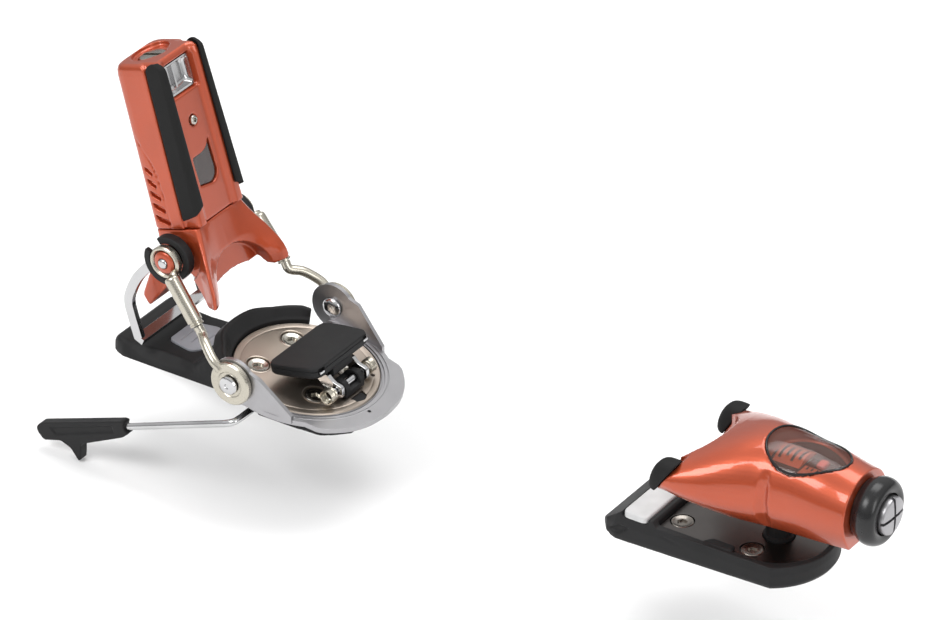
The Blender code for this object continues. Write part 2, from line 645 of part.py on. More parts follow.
def build_heel_setting(nickel, red, tower):
    """The release spring, the screw that loads it, and the nut that shows the setting."""
    spring = turned([(4.1, BORE_LOW + GAP), (6.2, BORE_LOW + GAP), (6.2, 26.0), (4.1, 26.0)],
                    sides=20, closed=True)
    add("heel_spring", spring, nickel, tower)
    nut = turned([(3.9, 31.5), (6.3, 31.5), (6.3, 37.5), (3.9, 37.5)], sides=20, closed=True)
    add("heel_indicator", nut, red, tower)
    seat = BORE_HIGH + 0.7
    profile = [(0, 26.6), (3.5, 26.6), (3.5, seat), (6.5, seat), (6.5, seat + 2.9), (5.9, seat + 3.5),
               (0, seat + 3.5)]
    screw = add("heel_setting_screw", turned(profile, sides=24), nickel, tower)
    cut(screw, box((-5.1, -1.1, seat + 1.7), (5.1, 1.1, seat + 6)))


# ---------------------------------------------------------------- heel: brake

def build_brake_arms(steel, black, axis):
    """Two wires, cranked out beside the base and down past the ski, with a claw foot on each."""
    down = Vector((-cos(WIRE_DROP), 0, -sin(WIRE_DROP)))
    across = Vector((-down.z, 0, down.x))
    start = Vector((-5.2, WIRE_Y, -1.95))
    stop = start + down * WIRE_LENGTH
    path = [(0, 14.0, 0), (0, 32.0, 0), (0, WIRE_Y - 3.4, 0), (-0.9, WIRE_Y - 1.2, -0.35),
            (-2.8, WIRE_Y - 0.2, -1.05), start, stop]
    tip = FOOT_LENGTH
    blade = [(0.0, -2.6), (2.0, -3.4), (tip - 3.0, -4.2), (tip, -2.4), (tip, 0.2), (tip - 2.0, 4.4),
             (tip - 12.0, 5.2), (tip - 19.0, 16.0), (tip - 23.6, 7.4), (4.0, 4.6), (0.0, 3.0),
             (1.4, 1.4), (1.4, -0.8)]
    spots = [stop + down * (GAP + a) + across * b for a, b in blade]
    outline = [(spot.x, spot.z) for spot in spots]
    for side, sign in sides():
        add(f"brake_arm_{side}", mirror_y(tube(path, WIRE_R, 12), sign), steel, axis)
        low, high = sorted((sign * (WIRE_Y - 3.2), sign * (WIRE_Y + 2.2)))
        add(f"brake_foot_{side}", prism(outline, low, high, "Y"), black, axis)


def build_brake_pedal(black, steel, axis):
    """The pedal and its two lever plates, in the pedal hinge's frame."""
    def place(outline):
        return [(x - PEDAL_HINGE_X, z - PEDAL_HINGE_Z) for x, z in outline]
    pad = [(6.0, 22.6), (30.0, 27.0), (32.4, 25.4), (32.4, 20.8), (30.0, 20.0), (8.0, 17.2), (5.2, 19.0)]
    pedal = add("brake_pedal", prism(place(pad), -PEDAL_HALF, PEDAL_HALF, "Y"), black, axis)
    (slot_x, slot_low), (slot_end, slot_high) = place([(30.6, 22.6), (36.0, 24.2)])
    lever = [(30.5, 19.2), (33.8, 16.0), (38.6, 14.8), (39.2, 9.9), (36.0, 8.1), (32.2, 9.5),
             (26.6, 14.2), (23.0, 18.2)]
    for side, sign in sides():
        low, high = sorted((sign * 16.2, sign * 19.4))
        cut(pedal, box((slot_x, low, slot_low), (slot_end, high, slot_high)))
        low, high = sorted((sign * 8.6, sign * 10.8))
        plate = add(f"brake_lever_{side}", prism(place(lever), low, high, "Y"), steel, axis)
        cut(plate, turned([(0, -30), (2.1, -30), (2.1, 30), (0, 30)], axis="Y", sides=16))


def build_brake_mount(black, steel, nickel):
    """The block that carries the pedal's pin, and the two coils on that pin."""
    hinge = (PEDAL_HINGE_X, 0, PEDAL_HINGE_Z)
    cheek = [(27.0, table_height(27.0) + 0.5), (44.0, table_height(44.0) + 1.1), (42.0, 9.4),
             (39.0, 13.4), (34.8, 15.2), (29.5, 13.4)]
    mount = add("brake_mount", prism(cheek, -7.2, 7.2, "Y"), black)
    cut(mount, turned([(0, -30), (2.1, -30), (2.1, 30), (0, 30)], hinge, "Y", 16))
    add("brake_pin", turned([(0, -12.6), (1.8, -12.6), (1.8, 12.6), (0, 12.6)], hinge, "Y", 16), steel)
    coil = turned([(2.4, 13.2), (4.2, 13.2), (4.2, 18.6), (2.4, 18.6)], hinge, "Y", 20, closed=True)
    for side, sign in sides():
        add(f"brake_spring_{side}", mirror_y(coil, sign), nickel)


# ---------------------------------------------------------------- toe

def toe_base_outline(inset=0.0):
    half = TOE_HALF - inset
    nose = arc((TOE_FRONT_X - TOE_NOSE_R, 0), TOE_NOSE_R - inset, -57, 57, 14)
    return ([(TOE_REAR_X + inset, -half + 5.0), (TOE_REAR_X + 8 + inset, -half)] + nose +
            [(TOE_REAR_X + 8 + inset, half), (TOE_REAR_X + inset, half - 5.0)])


def tray_outline(inset=0.0):
    """The sunk floor that takes the steel plate."""
    half = 23.6 - inset
    nose = arc((TOE_FRONT_X - 27.0, 0), half + 0.2, -78, 78, 12)
    return ([(214.6 + inset, -half), (TOE_FRONT_X - 23.0, -half)] + nose +
            [(TOE_FRONT_X - 23.0, half), (214.6 + inset, half)])


def build_toe_base(black):
    base = add("toe_base", prism(toe_base_outline(), 0.0, 14.6), black)
    # the rear edge slopes down to a thin lip, and is undercut
    slope = [(TOE_REAR_X - 2, 5.0), (TOE_REAR_X + 11.0, 14.6), (TOE_REAR_X + 11.0, 20), (TOE_REAR_X - 2, 20)]
    cut(base, prism(slope, -40, 40, "Y"))
    under = [(TOE_REAR_X - 2, -1), (TOE_REAR_X + 9, -1), (TOE_REAR_X - 2, 5.0)]
    cut(base, prism(under, -40, 40, "Y"))
    cut(base, prism(tray_outline(), TOE_PLATE_Z - 1.9, 20))
    wall = [(216.0, 12.2), (295.0, 11.6), (295.0, 20.0), (214.6, 20.0), (213.6, 14.6)]
    cut(base, prism(wall, -40, 40, "Y"))
    cut(base, box((AFD_X[0] - 0.4, -30, 12.2), (AFD_X[1] + 0.4, 30, 20)))


def build_toe_plate(steel):
    plate = add("toe_plate", prism(tray_outline(0.4), TOE_PLATE_Z - 1.6, TOE_PLATE_Z), steel)
    for x, y in (TOE_REAR_SCREW, TOE_FRONT_SCREW):
        for sign in (1, -1):
            seat = [(0, 9.0), (3.4, 9.0), (SCREW_HEAD_R + 0.3, 9.85), (SCREW_HEAD_R + 0.4, 12.0), (0, 12.0)]
            cut(plate, turned(seat, (x, y * sign, 0.0), sides=20))
    cut(plate, turned([(0, 5), (7.4, 5), (7.4, 15), (0, 15)], (TOE_PIVOT_X, 0, 0), sides=24))


def build_toe_screws(steel):
    for row, (x, y) in (("rear", TOE_REAR_SCREW), ("front", TOE_FRONT_SCREW)):
        for side, sign in sides():
            item = add(f"toe_screw_{row}_{side}", screw_shape(1.5, SCREW_HEAD_R - 0.1), steel)
            item.location = (x * MM, y * sign * MM, (TOE_PLATE_Z - 0.1) * MM)


def build_afd(white):
    """The low-friction slider under the boot's toe, on a rail across the base."""
    low, high = AFD_X
    middle = 0.5 * (low + high)
    outline = rounded([(low, -AFD_HALF), (high, -AFD_HALF), (high, AFD_HALF), (low, AFD_HALF)], 2.6, 3)
    rings = [[(x, y, 12.5) for x, y in outline],
             [(x, y, TOE_AFD_Z - 0.6) for x, y in outline],
             [(middle + (x - middle) * 0.9, y * 0.985, TOE_AFD_Z) for x, y in outline]]
    add("afd_slider", loft(rings), white)


def toe_section(x, half, low, high, waist, square):
    """A (y, z) section: a superellipse above the waist, drawn in below it to a flat underside."""
    ring = []
    for k in range(15):
        a = pi * k / 14
        y = half * (abs(cos(a)) ** (2 / square)) * (1 if k < 7 else -1)
        ring.append((x, y if k != 7 else 0.0, waist + (high - waist) * sin(a) ** (2 / square)))
    side = [(half * (1 - TOE_TUCK * v * v), waist + (low - waist) * v) for v in (0.33, 0.66, 0.92)]
    bottom = half * (1 - TOE_TUCK) - 0.8
    side += [(bottom, low), (0.4 * bottom, low)]
    return ring + [(x, -y, z) for y, z in side] + [(x, y, z) for y, z in side[::-1]]


TOE_TUCK = 0.30         # how far the flanks draw in towards the underside
TOE_STATIONS = (        # x, half width, low, high, height of the widest point, squareness
    (221.0, 33.4, 31.0, 48.6, 41.0, 2.6), (229.0, 33.0, 29.4, 53.0, 40.5, 2.5),
    (239.0, 31.0, 27.0, 57.6, 40.0, 2.4), (250.0, 27.3, 25.2, 61.4, 39.5, 2.3),
    (261.0, 23.2, 24.2, 62.9, 39.5, 2.2), (274.0, 20.8, 24.0, 62.5, 39.8, 2.2),
    (289.0, 19.7, 24.2, 60.6, 40.2, 2.1), (TOE_NOSE_X, 18.9, 24.4, 58.2, 40.4, 2.05))


def build_toe_housing(orange, swivel):
    shift = -TOE_PIVOT_X
    rings = [[(x + shift, y, z) for x, y, z in toe_section(*row)] for row in TOE_STATIONS]
    housing = add("toe_housing", loft(rings), orange, swivel)
    mouth = [(209.5 + shift + 26.5 * cos(radians(a)), 25.0 * sin(radians(a))) for a in range(-90, 91, 12)]
    cut(housing, prism([(200 + shift, -25.0)] + mouth + [(200 + shift, 25.0)], 20, 70))
    bore = [(0, 274 + shift), (TOE_BORE_R, 274 + shift), (TOE_BORE_R, 325 + shift), (0, 325 + shift)]
    cut(housing, turned(bore, (0, 0, TOE_AXIS_Z), "X", 32))
    cut(housing, prism(toe_window_outline(GAP), TRAY_Z - 0.3, 80.0))
    cut(housing, box((276 + shift, -6.0, 44), (290 + shift, 6.0, 58)))
    cut(housing, turned([(0, 10), (6.3, 10), (6.3, 30.3), (0, 30.3)], sides=24))
    for sign in (1, -1):
        cut(housing, mirror_y(prism([(x + shift, y) for x, y in pad_seat()], 33.0 - 0.6, 46.0 + 0.6), sign))


def toe_window_outline(grow=0.0):
    """A teardrop seen from above, in the toe swivel's frame."""
    points = []
    for k in range(24):
        a = 2 * pi * k / 24
        taper = 1.0 - 0.24 * cos(a)
        points.append((276.0 - TOE_PIVOT_X + (19.8 + grow) * cos(a), (15.2 + grow) * sin(a) * taper))
    return points


def pad_seat():
    return [(214.0, 23.4), (227.2, 24.2), (227.2, 40.0), (214.0, 40.0)]


def build_toe_pads(black, swivel):
    shift = -TOE_PIVOT_X
    for side, sign in sides():
        rings = []
        for z, grow in ((33.0, 1.0), (34.2, 0.0), (44.8, 0.0), (46.0, 1.0)):
            outline = rounded([(214.4 + grow, 25.4 + grow), (226.0 - grow * 0.3, 25.0), (226.6, 29.0),
                               (226.0, 32.6 - grow), (217.6, 34.4 - grow), (214.4 + grow, 31.6 - grow)], 1.6, 2)
            rings.append([(x + shift, y * sign, z) for x, y in outline])
        add(f"toe_pad_{side}", loft(rings), black, swivel)


def build_toe_window(glass, swivel):
    """A clear lid that follows the housing's top."""
    shift = -TOE_PIVOT_X
    lid = add("toe_window", prism(toe_window_outline(), TRAY_Z, 68.0), glass, swivel)
    outer = [[(x + shift, y, z - 0.25) for x, y, z in toe_section(*row)] for row in TOE_STATIONS]
    tool(lid, loft(outer), "INTERSECT")
    inner = [[(x + shift, y * 0.93, TOE_AXIS_Z + (z - TOE_AXIS_Z) * 0.94) for x, y, z in toe_section(*row)]
             for row in TOE_STATIONS]
    cut(lid, loft(inner))


def build_toe_core(black, nickel, red, swivel, steel):
    """What the housing holds: spring, tie rod, cap, setting screw, scale and indicator."""
    centre = (0, 0, TOE_AXIS_Z)
    nose = TOE_NOSE_X - TOE_PIVOT_X
    spring = turned([(6.6, nose - 28), (10.8, nose - 28), (10.8, nose - 8), (6.6, nose - 8)],
                    centre, "X", 24, closed=True)
    add("toe_spring", spring, nickel, swivel)
    tie = turned([(0, nose - 30), (4.4, nose - 30), (4.4, nose - 2.4), (0, nose - 2.4)], centre, "X", 20)
    add("toe_tie_rod", tie, steel, swivel)
    face = nose + 0.4
    inner = TOE_SCREW_R + 0.4
    cap = [(inner, face + 5.0), (12.4, face), (CAP_R - 1.6, face), (CAP_R - 0.3, face + 1.8),
           (CAP_R, face + 4.4), (CAP_R - 0.6, face + 7.2), (CAP_R - 2.4, face + 9.8),
           (CAP_R - 4.8, face + CAP_THICK),
           (inner + 1.2, face + CAP_THICK - 0.2), (inner, face + CAP_THICK - 1.4)]
    add("toe_end_cap", turned(cap, centre, "X", 32, closed=True), black, swivel)
    front = face + CAP_THICK + 1.6
    profile = [(0, nose - 2), (TOE_SCREW_R - 1.4, nose - 2), (TOE_SCREW_R, face + 5.6), (TOE_SCREW_R, front),
               (TOE_SCREW_R - 0.9, front + 1.0), (0, front + 1.6)]
    dial = add("toe_setting_screw", turned(profile, centre, "X", 32), nickel, swivel)
    for y, z in ((1.3, 10.0), (10.0, 1.3)):
        cut(dial, box((front - 0.8, -y, TOE_AXIS_Z - z), (front + 4, y, TOE_AXIS_Z + z)))
    outline = [(x * 0.9 + 1.4, y * 0.9) for x, y in toe_window_outline()]
    tray = add("toe_scale", prism(outline, TRAY_Z, TRAY_Z + 1.0), black, swivel)
    cut(tray, box((276 - TOE_PIVOT_X, -3.4, 50), (290 - TOE_PIVOT_X, 3.4, 56)))
    marker = box((281.0 - TOE_PIVOT_X, -2.6, TRAY_Z), (285.0 - TOE_PIVOT_X, 2.6, TRAY_Z + 2.4))
    add("toe_indicator", marker, red, swivel)


def build_toe_post(steel):
    foot = TOE_PLATE_Z - 1.5
    profile = [(0, foot), (7.0, foot), (7.0, foot + 2.7), (5.9, foot + 3.3), (5.9, 29.4), (5.2, 30.0),
               (0, 30.0)]
    add("toe_pivot_post", turned(profile, (TOE_PIVOT_X, 0, 0), sides=24), steel)


def build_all():
    clear_scene()
    orange = material("orange_paint", ORANGE, 0.26, 0.55)
    black = material("black_plastic", BLACK, 0.5, 0.0)
    gloss = material("gloss_black", BLACK, 0.12, 0.0)
    nickel = material("nickel", NICKEL, 0.28, 1.0)
    bronze = material("bronze_steel", BRONZE, 0.32, 1.0)
    silver = material("satin_aluminium", SILVER, 0.36, 1.0)
    steel = material("polished_steel", SILVER, 0.18, 1.0)
    grey = material("grey_plastic", GREY, 0.5, 0.0)
    white = material("white_plastic", (0.72, 0.72, 0.72), 0.35, 0.0)
    glass = material("clear_window", (0.9, 0.85, 0.82), 0.05, 0.0, 0.35)
    red = material("red_marker", (0.6, 0.05, 0.03), 0.4, 0.0)

    table = axis_empty("table_axis", (TABLE_X, 0, TABLE_Z), TABLE_PITCH)
    hinge = axis_empty("arm_axis", (0, 0, HINGE_Z))
    axle = axis_empty("stirrup_axis", (AXLE_X, 0, AXLE_Z))
    tower = axis_empty("tower_axis", (AXLE_X, 0, AXLE_Z), -TOWER_LEAN)
    brake = axis_empty("brake_axis", (BRAKE_X, 0, BRAKE_Z))
    pedal = axis_empty("pedal_axis", (PEDAL_HINGE_X, 0, PEDAL_HINGE_Z))
    swivel = axis_empty("toe_axis", (TOE_PIVOT_X, 0, 0))

    build_heel_base(black)
    add("heel_inlay", prism(inlay_outline(), DECK_Z - 0.9, DECK_Z + 0.5), grey)
    build_guard(black, table)
    build_disc(bronze, table)
    build_heel_screws(nickel, table)
    build_ring(silver, table)
    build_hinge_pins(nickel, table)
    build_arms(nickel, steel, black, hinge)
    build_stirrup(steel, axle)
    build_tower_housing(orange, tower)
    build_tower_trim(black, nickel, glass, tower)
    build_cup(orange, tower)
    build_pivot_covers(black, tower)
    build_heel_setting(nickel, red, tower)
    build_brake_arms(steel, black, brake)
    build_brake_pedal(black, steel, pedal)
    build_brake_mount(black, steel, nickel)
    build_toe_base(black)
    build_toe_plate(nickel)
    build_toe_screws(nickel)
    build_afd(white)
    build_toe_housing(orange, swivel)
    build_toe_pads(black, swivel)
    build_toe_window(glass, swivel)
    build_toe_core(gloss, nickel, red, swivel, steel)
    build_toe_post(steel)


build_all()
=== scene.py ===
"""Looks of the alpine turntable ski binding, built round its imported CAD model.

The world frame is the CAD's: metres, +X to the ski tip, +Y to the left, +Z up. Shapes below are
given in millimetres, in the frame of the joint that they turn about, and `place` puts them there.
"""
import json
from math import cos, pi, radians, sin, sqrt

import bmesh
import bpy
from mathutils import Matrix, Vector


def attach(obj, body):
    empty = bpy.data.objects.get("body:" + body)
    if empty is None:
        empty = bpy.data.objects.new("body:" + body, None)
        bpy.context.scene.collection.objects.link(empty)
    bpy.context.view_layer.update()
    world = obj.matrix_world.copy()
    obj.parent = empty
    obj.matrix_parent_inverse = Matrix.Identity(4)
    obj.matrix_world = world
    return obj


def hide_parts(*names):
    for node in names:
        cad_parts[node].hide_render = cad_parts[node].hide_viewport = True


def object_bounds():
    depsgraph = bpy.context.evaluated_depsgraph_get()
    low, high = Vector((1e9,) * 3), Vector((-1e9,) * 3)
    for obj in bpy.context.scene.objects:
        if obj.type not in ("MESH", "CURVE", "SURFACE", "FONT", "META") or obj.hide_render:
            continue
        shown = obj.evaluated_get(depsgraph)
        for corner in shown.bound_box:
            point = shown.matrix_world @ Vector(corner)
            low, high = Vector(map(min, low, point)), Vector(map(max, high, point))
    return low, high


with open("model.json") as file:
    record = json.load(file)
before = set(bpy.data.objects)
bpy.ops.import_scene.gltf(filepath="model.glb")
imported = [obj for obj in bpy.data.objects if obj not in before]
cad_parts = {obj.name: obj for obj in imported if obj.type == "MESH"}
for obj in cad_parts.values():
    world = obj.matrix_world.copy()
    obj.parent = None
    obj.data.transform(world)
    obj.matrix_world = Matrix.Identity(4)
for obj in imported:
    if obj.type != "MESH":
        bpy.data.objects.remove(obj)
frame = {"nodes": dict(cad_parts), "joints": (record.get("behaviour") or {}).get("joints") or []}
CAD_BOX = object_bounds()
NODES = frame["nodes"]
JOINTS = {joint["name"]: joint for joint in frame["joints"]}

MM = 0.001
GAP = 0.3

# Places, taken from the CAD's joints
TABLE = Vector(JOINTS["turntable_swivel"]["pos_m"]) / MM
TABLE_UP = Vector(JOINTS["turntable_swivel"]["axis"])
HINGE = Vector(JOINTS["arm_swing"]["pos_m"]) / MM
AXLE = Vector(JOINTS["tower_tilt"]["pos_m"]) / MM
TOWER_UP = Vector(JOINTS["heel_screw_turn"]["axis"])
BRAKE = Vector(JOINTS["brake_swing"]["pos_m"]) / MM
PEDAL = Vector(JOINTS["pedal_press"]["pos_m"]) / MM
TOE = Vector(JOINTS["toe_swivel"]["pos_m"]) / MM
TOE_AXIS_Z = JOINTS["toe_screw_turn"]["pos_m"][2] / MM

# Sizes shared by several pieces, as in the CAD
DISC_R = 33.8
RING_BACK_R = 33.6
RING_R = 40.0
LIP_FRONT = 44.6
EAR_IN_Y = 38.0
EAR_OUT_Y = 40.0
EYE_IN_Y = 40.3
EYE_OUT_Y = 43.2
EYE_R = 10.4
HOLE_R = 2.9
TOWER_HALF_LOW = 18.7
TOWER_HALF_HIGH = 16.3
TOWER_REAR = -11.4
TOWER_PANEL = 13.0
TOWER_RAIL = 15.4
TOWER_TOP = 90.5
SEAM_T = 11.0
STRIP_THICK = 1.9
SCREW_HEAD_R = 5.1
RIVET_T = 57.2
SIDES = (("left", 1), ("right", -1))
HEEL_SCREWS = (("rear", -5.2, 13.4), ("front", 26.0, 13.0))      # row, x, y
TOE_SCREWS = (("rear", 221.2, 14.0), ("front", 258.4, 16.2))


# ---------------------------------------------------------------- shapes as (points, faces), mm

def loft(rings):
    """A closed solid through rings of equal count, capped at both ends."""
    count = len(rings[0])
    points = [tuple(p) for ring in rings for p in ring]
    faces = []
    for level in range(len(rings) - 1):
        low, high = level * count, (level + 1) * count
        for i in range(count):
            j = (i + 1) % count
            faces.append((low + i, low + j, high + j, high + i))
    last = (len(rings) - 1) * count
    return points, faces + [tuple(range(count)), tuple(range(last, last + count))]


def prism(outline, low, high, axis="Z"):
    def spot(a, b, h):
        return {"X": (h, a, b), "Y": (a, h, b), "Z": (a, b, h)}[axis]
    return loft([[spot(a, b, h) for a, b in outline] for h in (low, high)])


def box(low, high):
    outline = [(low[0], low[1]), (high[0], low[1]), (high[0], high[1]), (low[0], high[1])]
    return prism(outline, low[2], high[2])


def turned(profile, centre=(0, 0, 0), axis="Z", sides=64, closed=False):
    """(radius, height) pairs turned round an axis. A closed profile makes a ring."""
    points, rows = [], []
    for radius, height in profile:
        row = []
        for k in range(1 if radius < 1e-6 else sides):
            a = 2 * pi * k / sides
            u, v = radius * cos(a), radius * sin(a)
            spot = {"X": (height, u, v), "Y": (v, height, u), "Z": (u, v, height)}[axis]
            row.append(len(points))
            points.append(tuple(c + s for c, s in zip(centre, spot)))
        rows.append(row)
    faces = []
    pairs = list(zip(rows, rows[1:] + rows[:1]))
    for low, high in pairs if closed else pairs[:-1]:
        for k in range(sides):
            corners = list(dict.fromkeys([low[k % len(low)], low[(k + 1) % len(low)],
                                          high[(k + 1) % len(high)], high[k % len(high)]]))
            if len(corners) > 2:
                faces.append(tuple(corners))
    for row in () if closed else (rows[0], rows[-1]):
        if len(row) > 1:
            faces.append(tuple(row))
    return points, faces


def tube(path, radius, sides=20):
    """A round bar along a path. radius may be a list, one per point."""
    path = [Vector(p) for p in path]
    radii = radius if isinstance(radius, (list, tuple)) else [radius] * len(path)
    rings, side = [], None
    for i, spot in enumerate(path):
        before = (spot - path[i - 1]).normalized() if i else None
        after = (path[i + 1] - spot).normalized() if i + 1 < len(path) else None
        along = ((before or after) + (after or before)).normalized()
        side = side or along.orthogonal().normalized()
        side = (side - along * side.dot(along)).normalized()
        other = along.cross(side)
        rings.append([spot + (side * cos(2 * pi * k / sides) + other * sin(2 * pi * k / sides)) * radii[i]
                      for k in range(sides)])
    return loft(rings)


def rod(radius, low, high, centre=(0, 0, 0), axis="Z", sides=64):
    """A plain cylinder, which most bores are cut with."""
    return turned([(0, low), (radius, low), (radius, high), (0, high)], centre, axis, sides)


def span(sign, inner, outer):
    """The low and high end of a stretch from inner to outer on one side of the middle."""
    return sorted((sign * inner, sign * outer))


def curve_through(points, steps=6):
    """A smooth path through 2-D or 3-D points (Catmull-Rom)."""
    spots = [Vector(p) for p in points]
    spots = [spots[0] * 2 - spots[1]] + spots + [spots[-1] * 2 - spots[-2]]
    out = []
    for a, b, c, d in zip(spots, spots[1:], spots[2:], spots[3:]):
        for k in range(steps):
            t = k / steps
            out.append(0.5 * (2 * b + (c - a) * t + (2 * a - 5 * b + 4 * c - d) * t ** 2
                              + (3 * b - a - 3 * c + d) * t ** 3))
    return out + [spots[-2]]


def rounded(outline, radius, steps=5):
    """The outline with each corner replaced by a curve that starts this far from it."""
    out = []
    for i, corner in enumerate(outline):
        spot = Vector(corner)
        back = Vector(outline[i - 1]) - spot
        ahead = Vector(outline[(i + 1) % len(outline)]) - spot
        first = spot + back.normalized() * min(radius, 0.48 * back.length)
        last = spot + ahead.normalized() * min(radius, 0.48 * ahead.length)
        for k in range(steps + 1):
            t = k / steps
            out.append(tuple(first * (1 - t) ** 2 + spot * 2 * t * (1 - t) + last * t * t))
    return out


def arc(centre, radius, start, end, steps):
    return [(centre[0] + radius * cos(radians(start + (end - start) * k / steps)),
             centre[1] + radius * sin(radians(start + (end - start) * k / steps)))
            for k in range(steps + 1)]


def ribbon(path, width):
    """The outline of a flat strap along a 2-D path."""
    left, right = [], []
    for i, spot in enumerate(path):
        step = Vector(path[min(i + 1, len(path) - 1)]) - Vector(path[max(i - 1, 0)])
        across = Vector((-step.y, step.x)).normalized() * width / 2
        left.append(tuple(Vector(spot) + across))
        right.append(tuple(Vector(spot) - across))
    return left + right[::-1]


def coil(centre, radius, wire, low, high, turns, axis="Y", sides=8):
    """A helical spring along an axis."""
    path = []
    steps = int(turns * 16)
    for k in range(steps + 1):
        a = 2 * pi * turns * k / steps
        h = low + wire + (high - low - 2 * wire) * k / steps
        u, v = radius * cos(a), radius * sin(a)
        spot = {"X": (h, u, v), "Y": (v, h, u), "Z": (u, v, h)}[axis]
        path.append(tuple(c + s for c, s in zip(centre, spot)))
    return tube(path, wire, sides)


# ---------------------------------------------------------------- objects

def place(origin, up=Vector((0, 0, 1))):
    """A frame at a joint: its Z is the given direction, its Y is the world's."""
    z = Vector(up).normalized()
    y = Vector((0, 1, 0))
    turn = Matrix((y.cross(z), y, z)).transposed().to_4x4()
    return Matrix.Translation(Vector(origin) * MM) @ turn


WORLD = Matrix.Identity(4)
ON_TABLE = place(TABLE, TABLE_UP)
ON_TOWER = place(AXLE, TOWER_UP)
ON_AXLE = place(AXLE)
ON_HINGE = place(HINGE)
ON_BRAKE = place(BRAKE)
ON_PEDAL = place(PEDAL)
ON_TOE = place((TOE.x, 0, 0))


def solid(name, shape, sharp=35):
    """A new object from a shape, in its own frame."""
    points, faces = shape
    mesh = bpy.data.meshes.new(name)
    mesh.from_pydata([tuple(c * MM for c in p) for p in points], [], faces)
    tidy(mesh, sharp)
    item = bpy.data.objects.new(name, mesh)
    bpy.context.scene.collection.objects.link(item)
    item["sharp"] = sharp
    return item


def tidy(mesh, sharp):
    work = bmesh.new()
    work.from_mesh(mesh)
    bmesh.ops.recalc_face_normals(work, faces=work.faces)
    work.to_mesh(mesh)
    work.free()
    mesh.shade_smooth()
    mesh.set_sharp_from_angle(angle=radians(sharp))


def apply_modifiers(item):
    depsgraph = bpy.context.evaluated_depsgraph_get()
    mesh = bpy.data.meshes.new_from_object(item.evaluated_get(depsgraph))
    item.modifiers.clear()
    item.data = mesh
    mesh.shade_smooth()
    mesh.set_sharp_from_angle(angle=radians(item.get("sharp", 35)))
    return item


def combine(item, shape, operation):
    helper = solid(item.name + "_tool", shape)
    change = item.modifiers.new("change", "BOOLEAN")
    change.operation = operation
    change.solver = "EXACT"
    change.object = helper
    apply_modifiers(item)
    bpy.data.objects.remove(helper, do_unlink=True)
    return item


def carve(item, *shapes):
    for shape in shapes:
        combine(item, shape, "DIFFERENCE")
    return item


def fuse(item, *shapes):
    for shape in shapes:
        combine(item, shape, "UNION")
    return item


def bevel(item, width=0.4, segments=3, angle=32):
    """A real rounded edge on every sharp corner."""
    change = item.modifiers.new("bevel", "BEVEL")
    change.width = width * MM
    change.segments = segments
    change.limit_method = "ANGLE"
    change.angle_limit = radians(angle)
    change.use_clamp_overlap = True
    change.miter_outer = "MITER_ARC"
    apply_modifiers(item)
    return item


def soften(item, voxel=0.55, rounds=4, keep=0.5):
    """Rounds every edge like a moulding's, by remeshing finely and smoothing."""
    remesh = item.modifiers.new("remesh", "REMESH")
    remesh.mode = "VOXEL"
    remesh.voxel_size = voxel * MM
    smooth = item.modifiers.new("smooth", "SMOOTH")
    smooth.factor = 0.5
    smooth.iterations = rounds
    if keep < 1:
        fewer = item.modifiers.new("fewer", "DECIMATE")
        fewer.ratio = keep
    item["sharp"] = 70
    item["soft"] = True
    apply_modifiers(item)
    return item


def finish_piece(item, where, body, mat, replaces=()):
    """Puts a piece in its place and ties it to the CAD."""
    if not item.get("soft"):
        change = item.modifiers.new("normals", "WEIGHTED_NORMAL")
        change.keep_sharp = True
        change.weight = 80
        depsgraph = bpy.context.evaluated_depsgraph_get()
        mesh = bpy.data.meshes.new_from_object(item.evaluated_get(depsgraph))
        item.modifiers.clear()
        item.data = mesh
    item.data.transform(where)
    item.data.materials.clear()
    item.data.materials.append(mat)
    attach(item, body)
    if replaces:
        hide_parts(*replaces)
    return item


def pair(item, stem, where, body, mat, replaces=None):
    """A left piece and its mirror image, each standing for a CAD node."""
    other = item.copy()
    other.data = item.data.copy()
    other.data.transform(Matrix.Scale(-1, 4, (0, 1, 0)))
    other.data.flip_normals()
    bpy.context.scene.collection.objects.link(other)
    for side, one in (("left", item), ("right", other)):
        one.name = f"{stem}_{side}"
        nodes = [f"{name}_{side}" for name in replaces or ()]
        finish_piece(one, where, body, mat, nodes)
    return item, other


# ---------------------------------------------------------------- materials

def new_material(name, color, rough, metal=0.0, coat=0.0, coat_rough=0.05, alpha=1.0, spec=0.5):
    mat = bpy.data.materials.new(name)
    mat.use_nodes = True
    shader = mat.node_tree.nodes["Principled BSDF"]
    shader.inputs["Base Color"].default_value = (*color, 1)
    shader.inputs["Roughness"].default_value = rough
    shader.inputs["Metallic"].default_value = metal
    shader.inputs["Coat Weight"].default_value = coat
    shader.inputs["Coat Roughness"].default_value = coat_rough
    shader.inputs["Alpha"].default_value = alpha
    shader.inputs["Specular IOR Level"].default_value = spec
    mat.diffuse_color = (*color, alpha)
    return mat, shader


def link(mat, a, out, b, into):
    mat.node_tree.links.new(a.outputs[out], b.inputs[into])


def coordinates(mat, stretch=(1, 1, 1)):
    nodes = mat.node_tree.nodes
    where = nodes.new("ShaderNodeTexCoord")
    scale = nodes.new("ShaderNodeMapping")
    scale.inputs["Scale"].default_value = stretch
    link(mat, where, "Object", scale, "Vector")
    return scale


def noise_node(mat, source, scale, detail=3.0, rough=0.5):
    node = mat.node_tree.nodes.new("ShaderNodeTexNoise")
    node.inputs["Scale"].default_value = scale
    node.inputs["Detail"].default_value = detail
    node.inputs["Roughness"].default_value = rough
    link(mat, source, "Vector", node, "Vector")
    return node


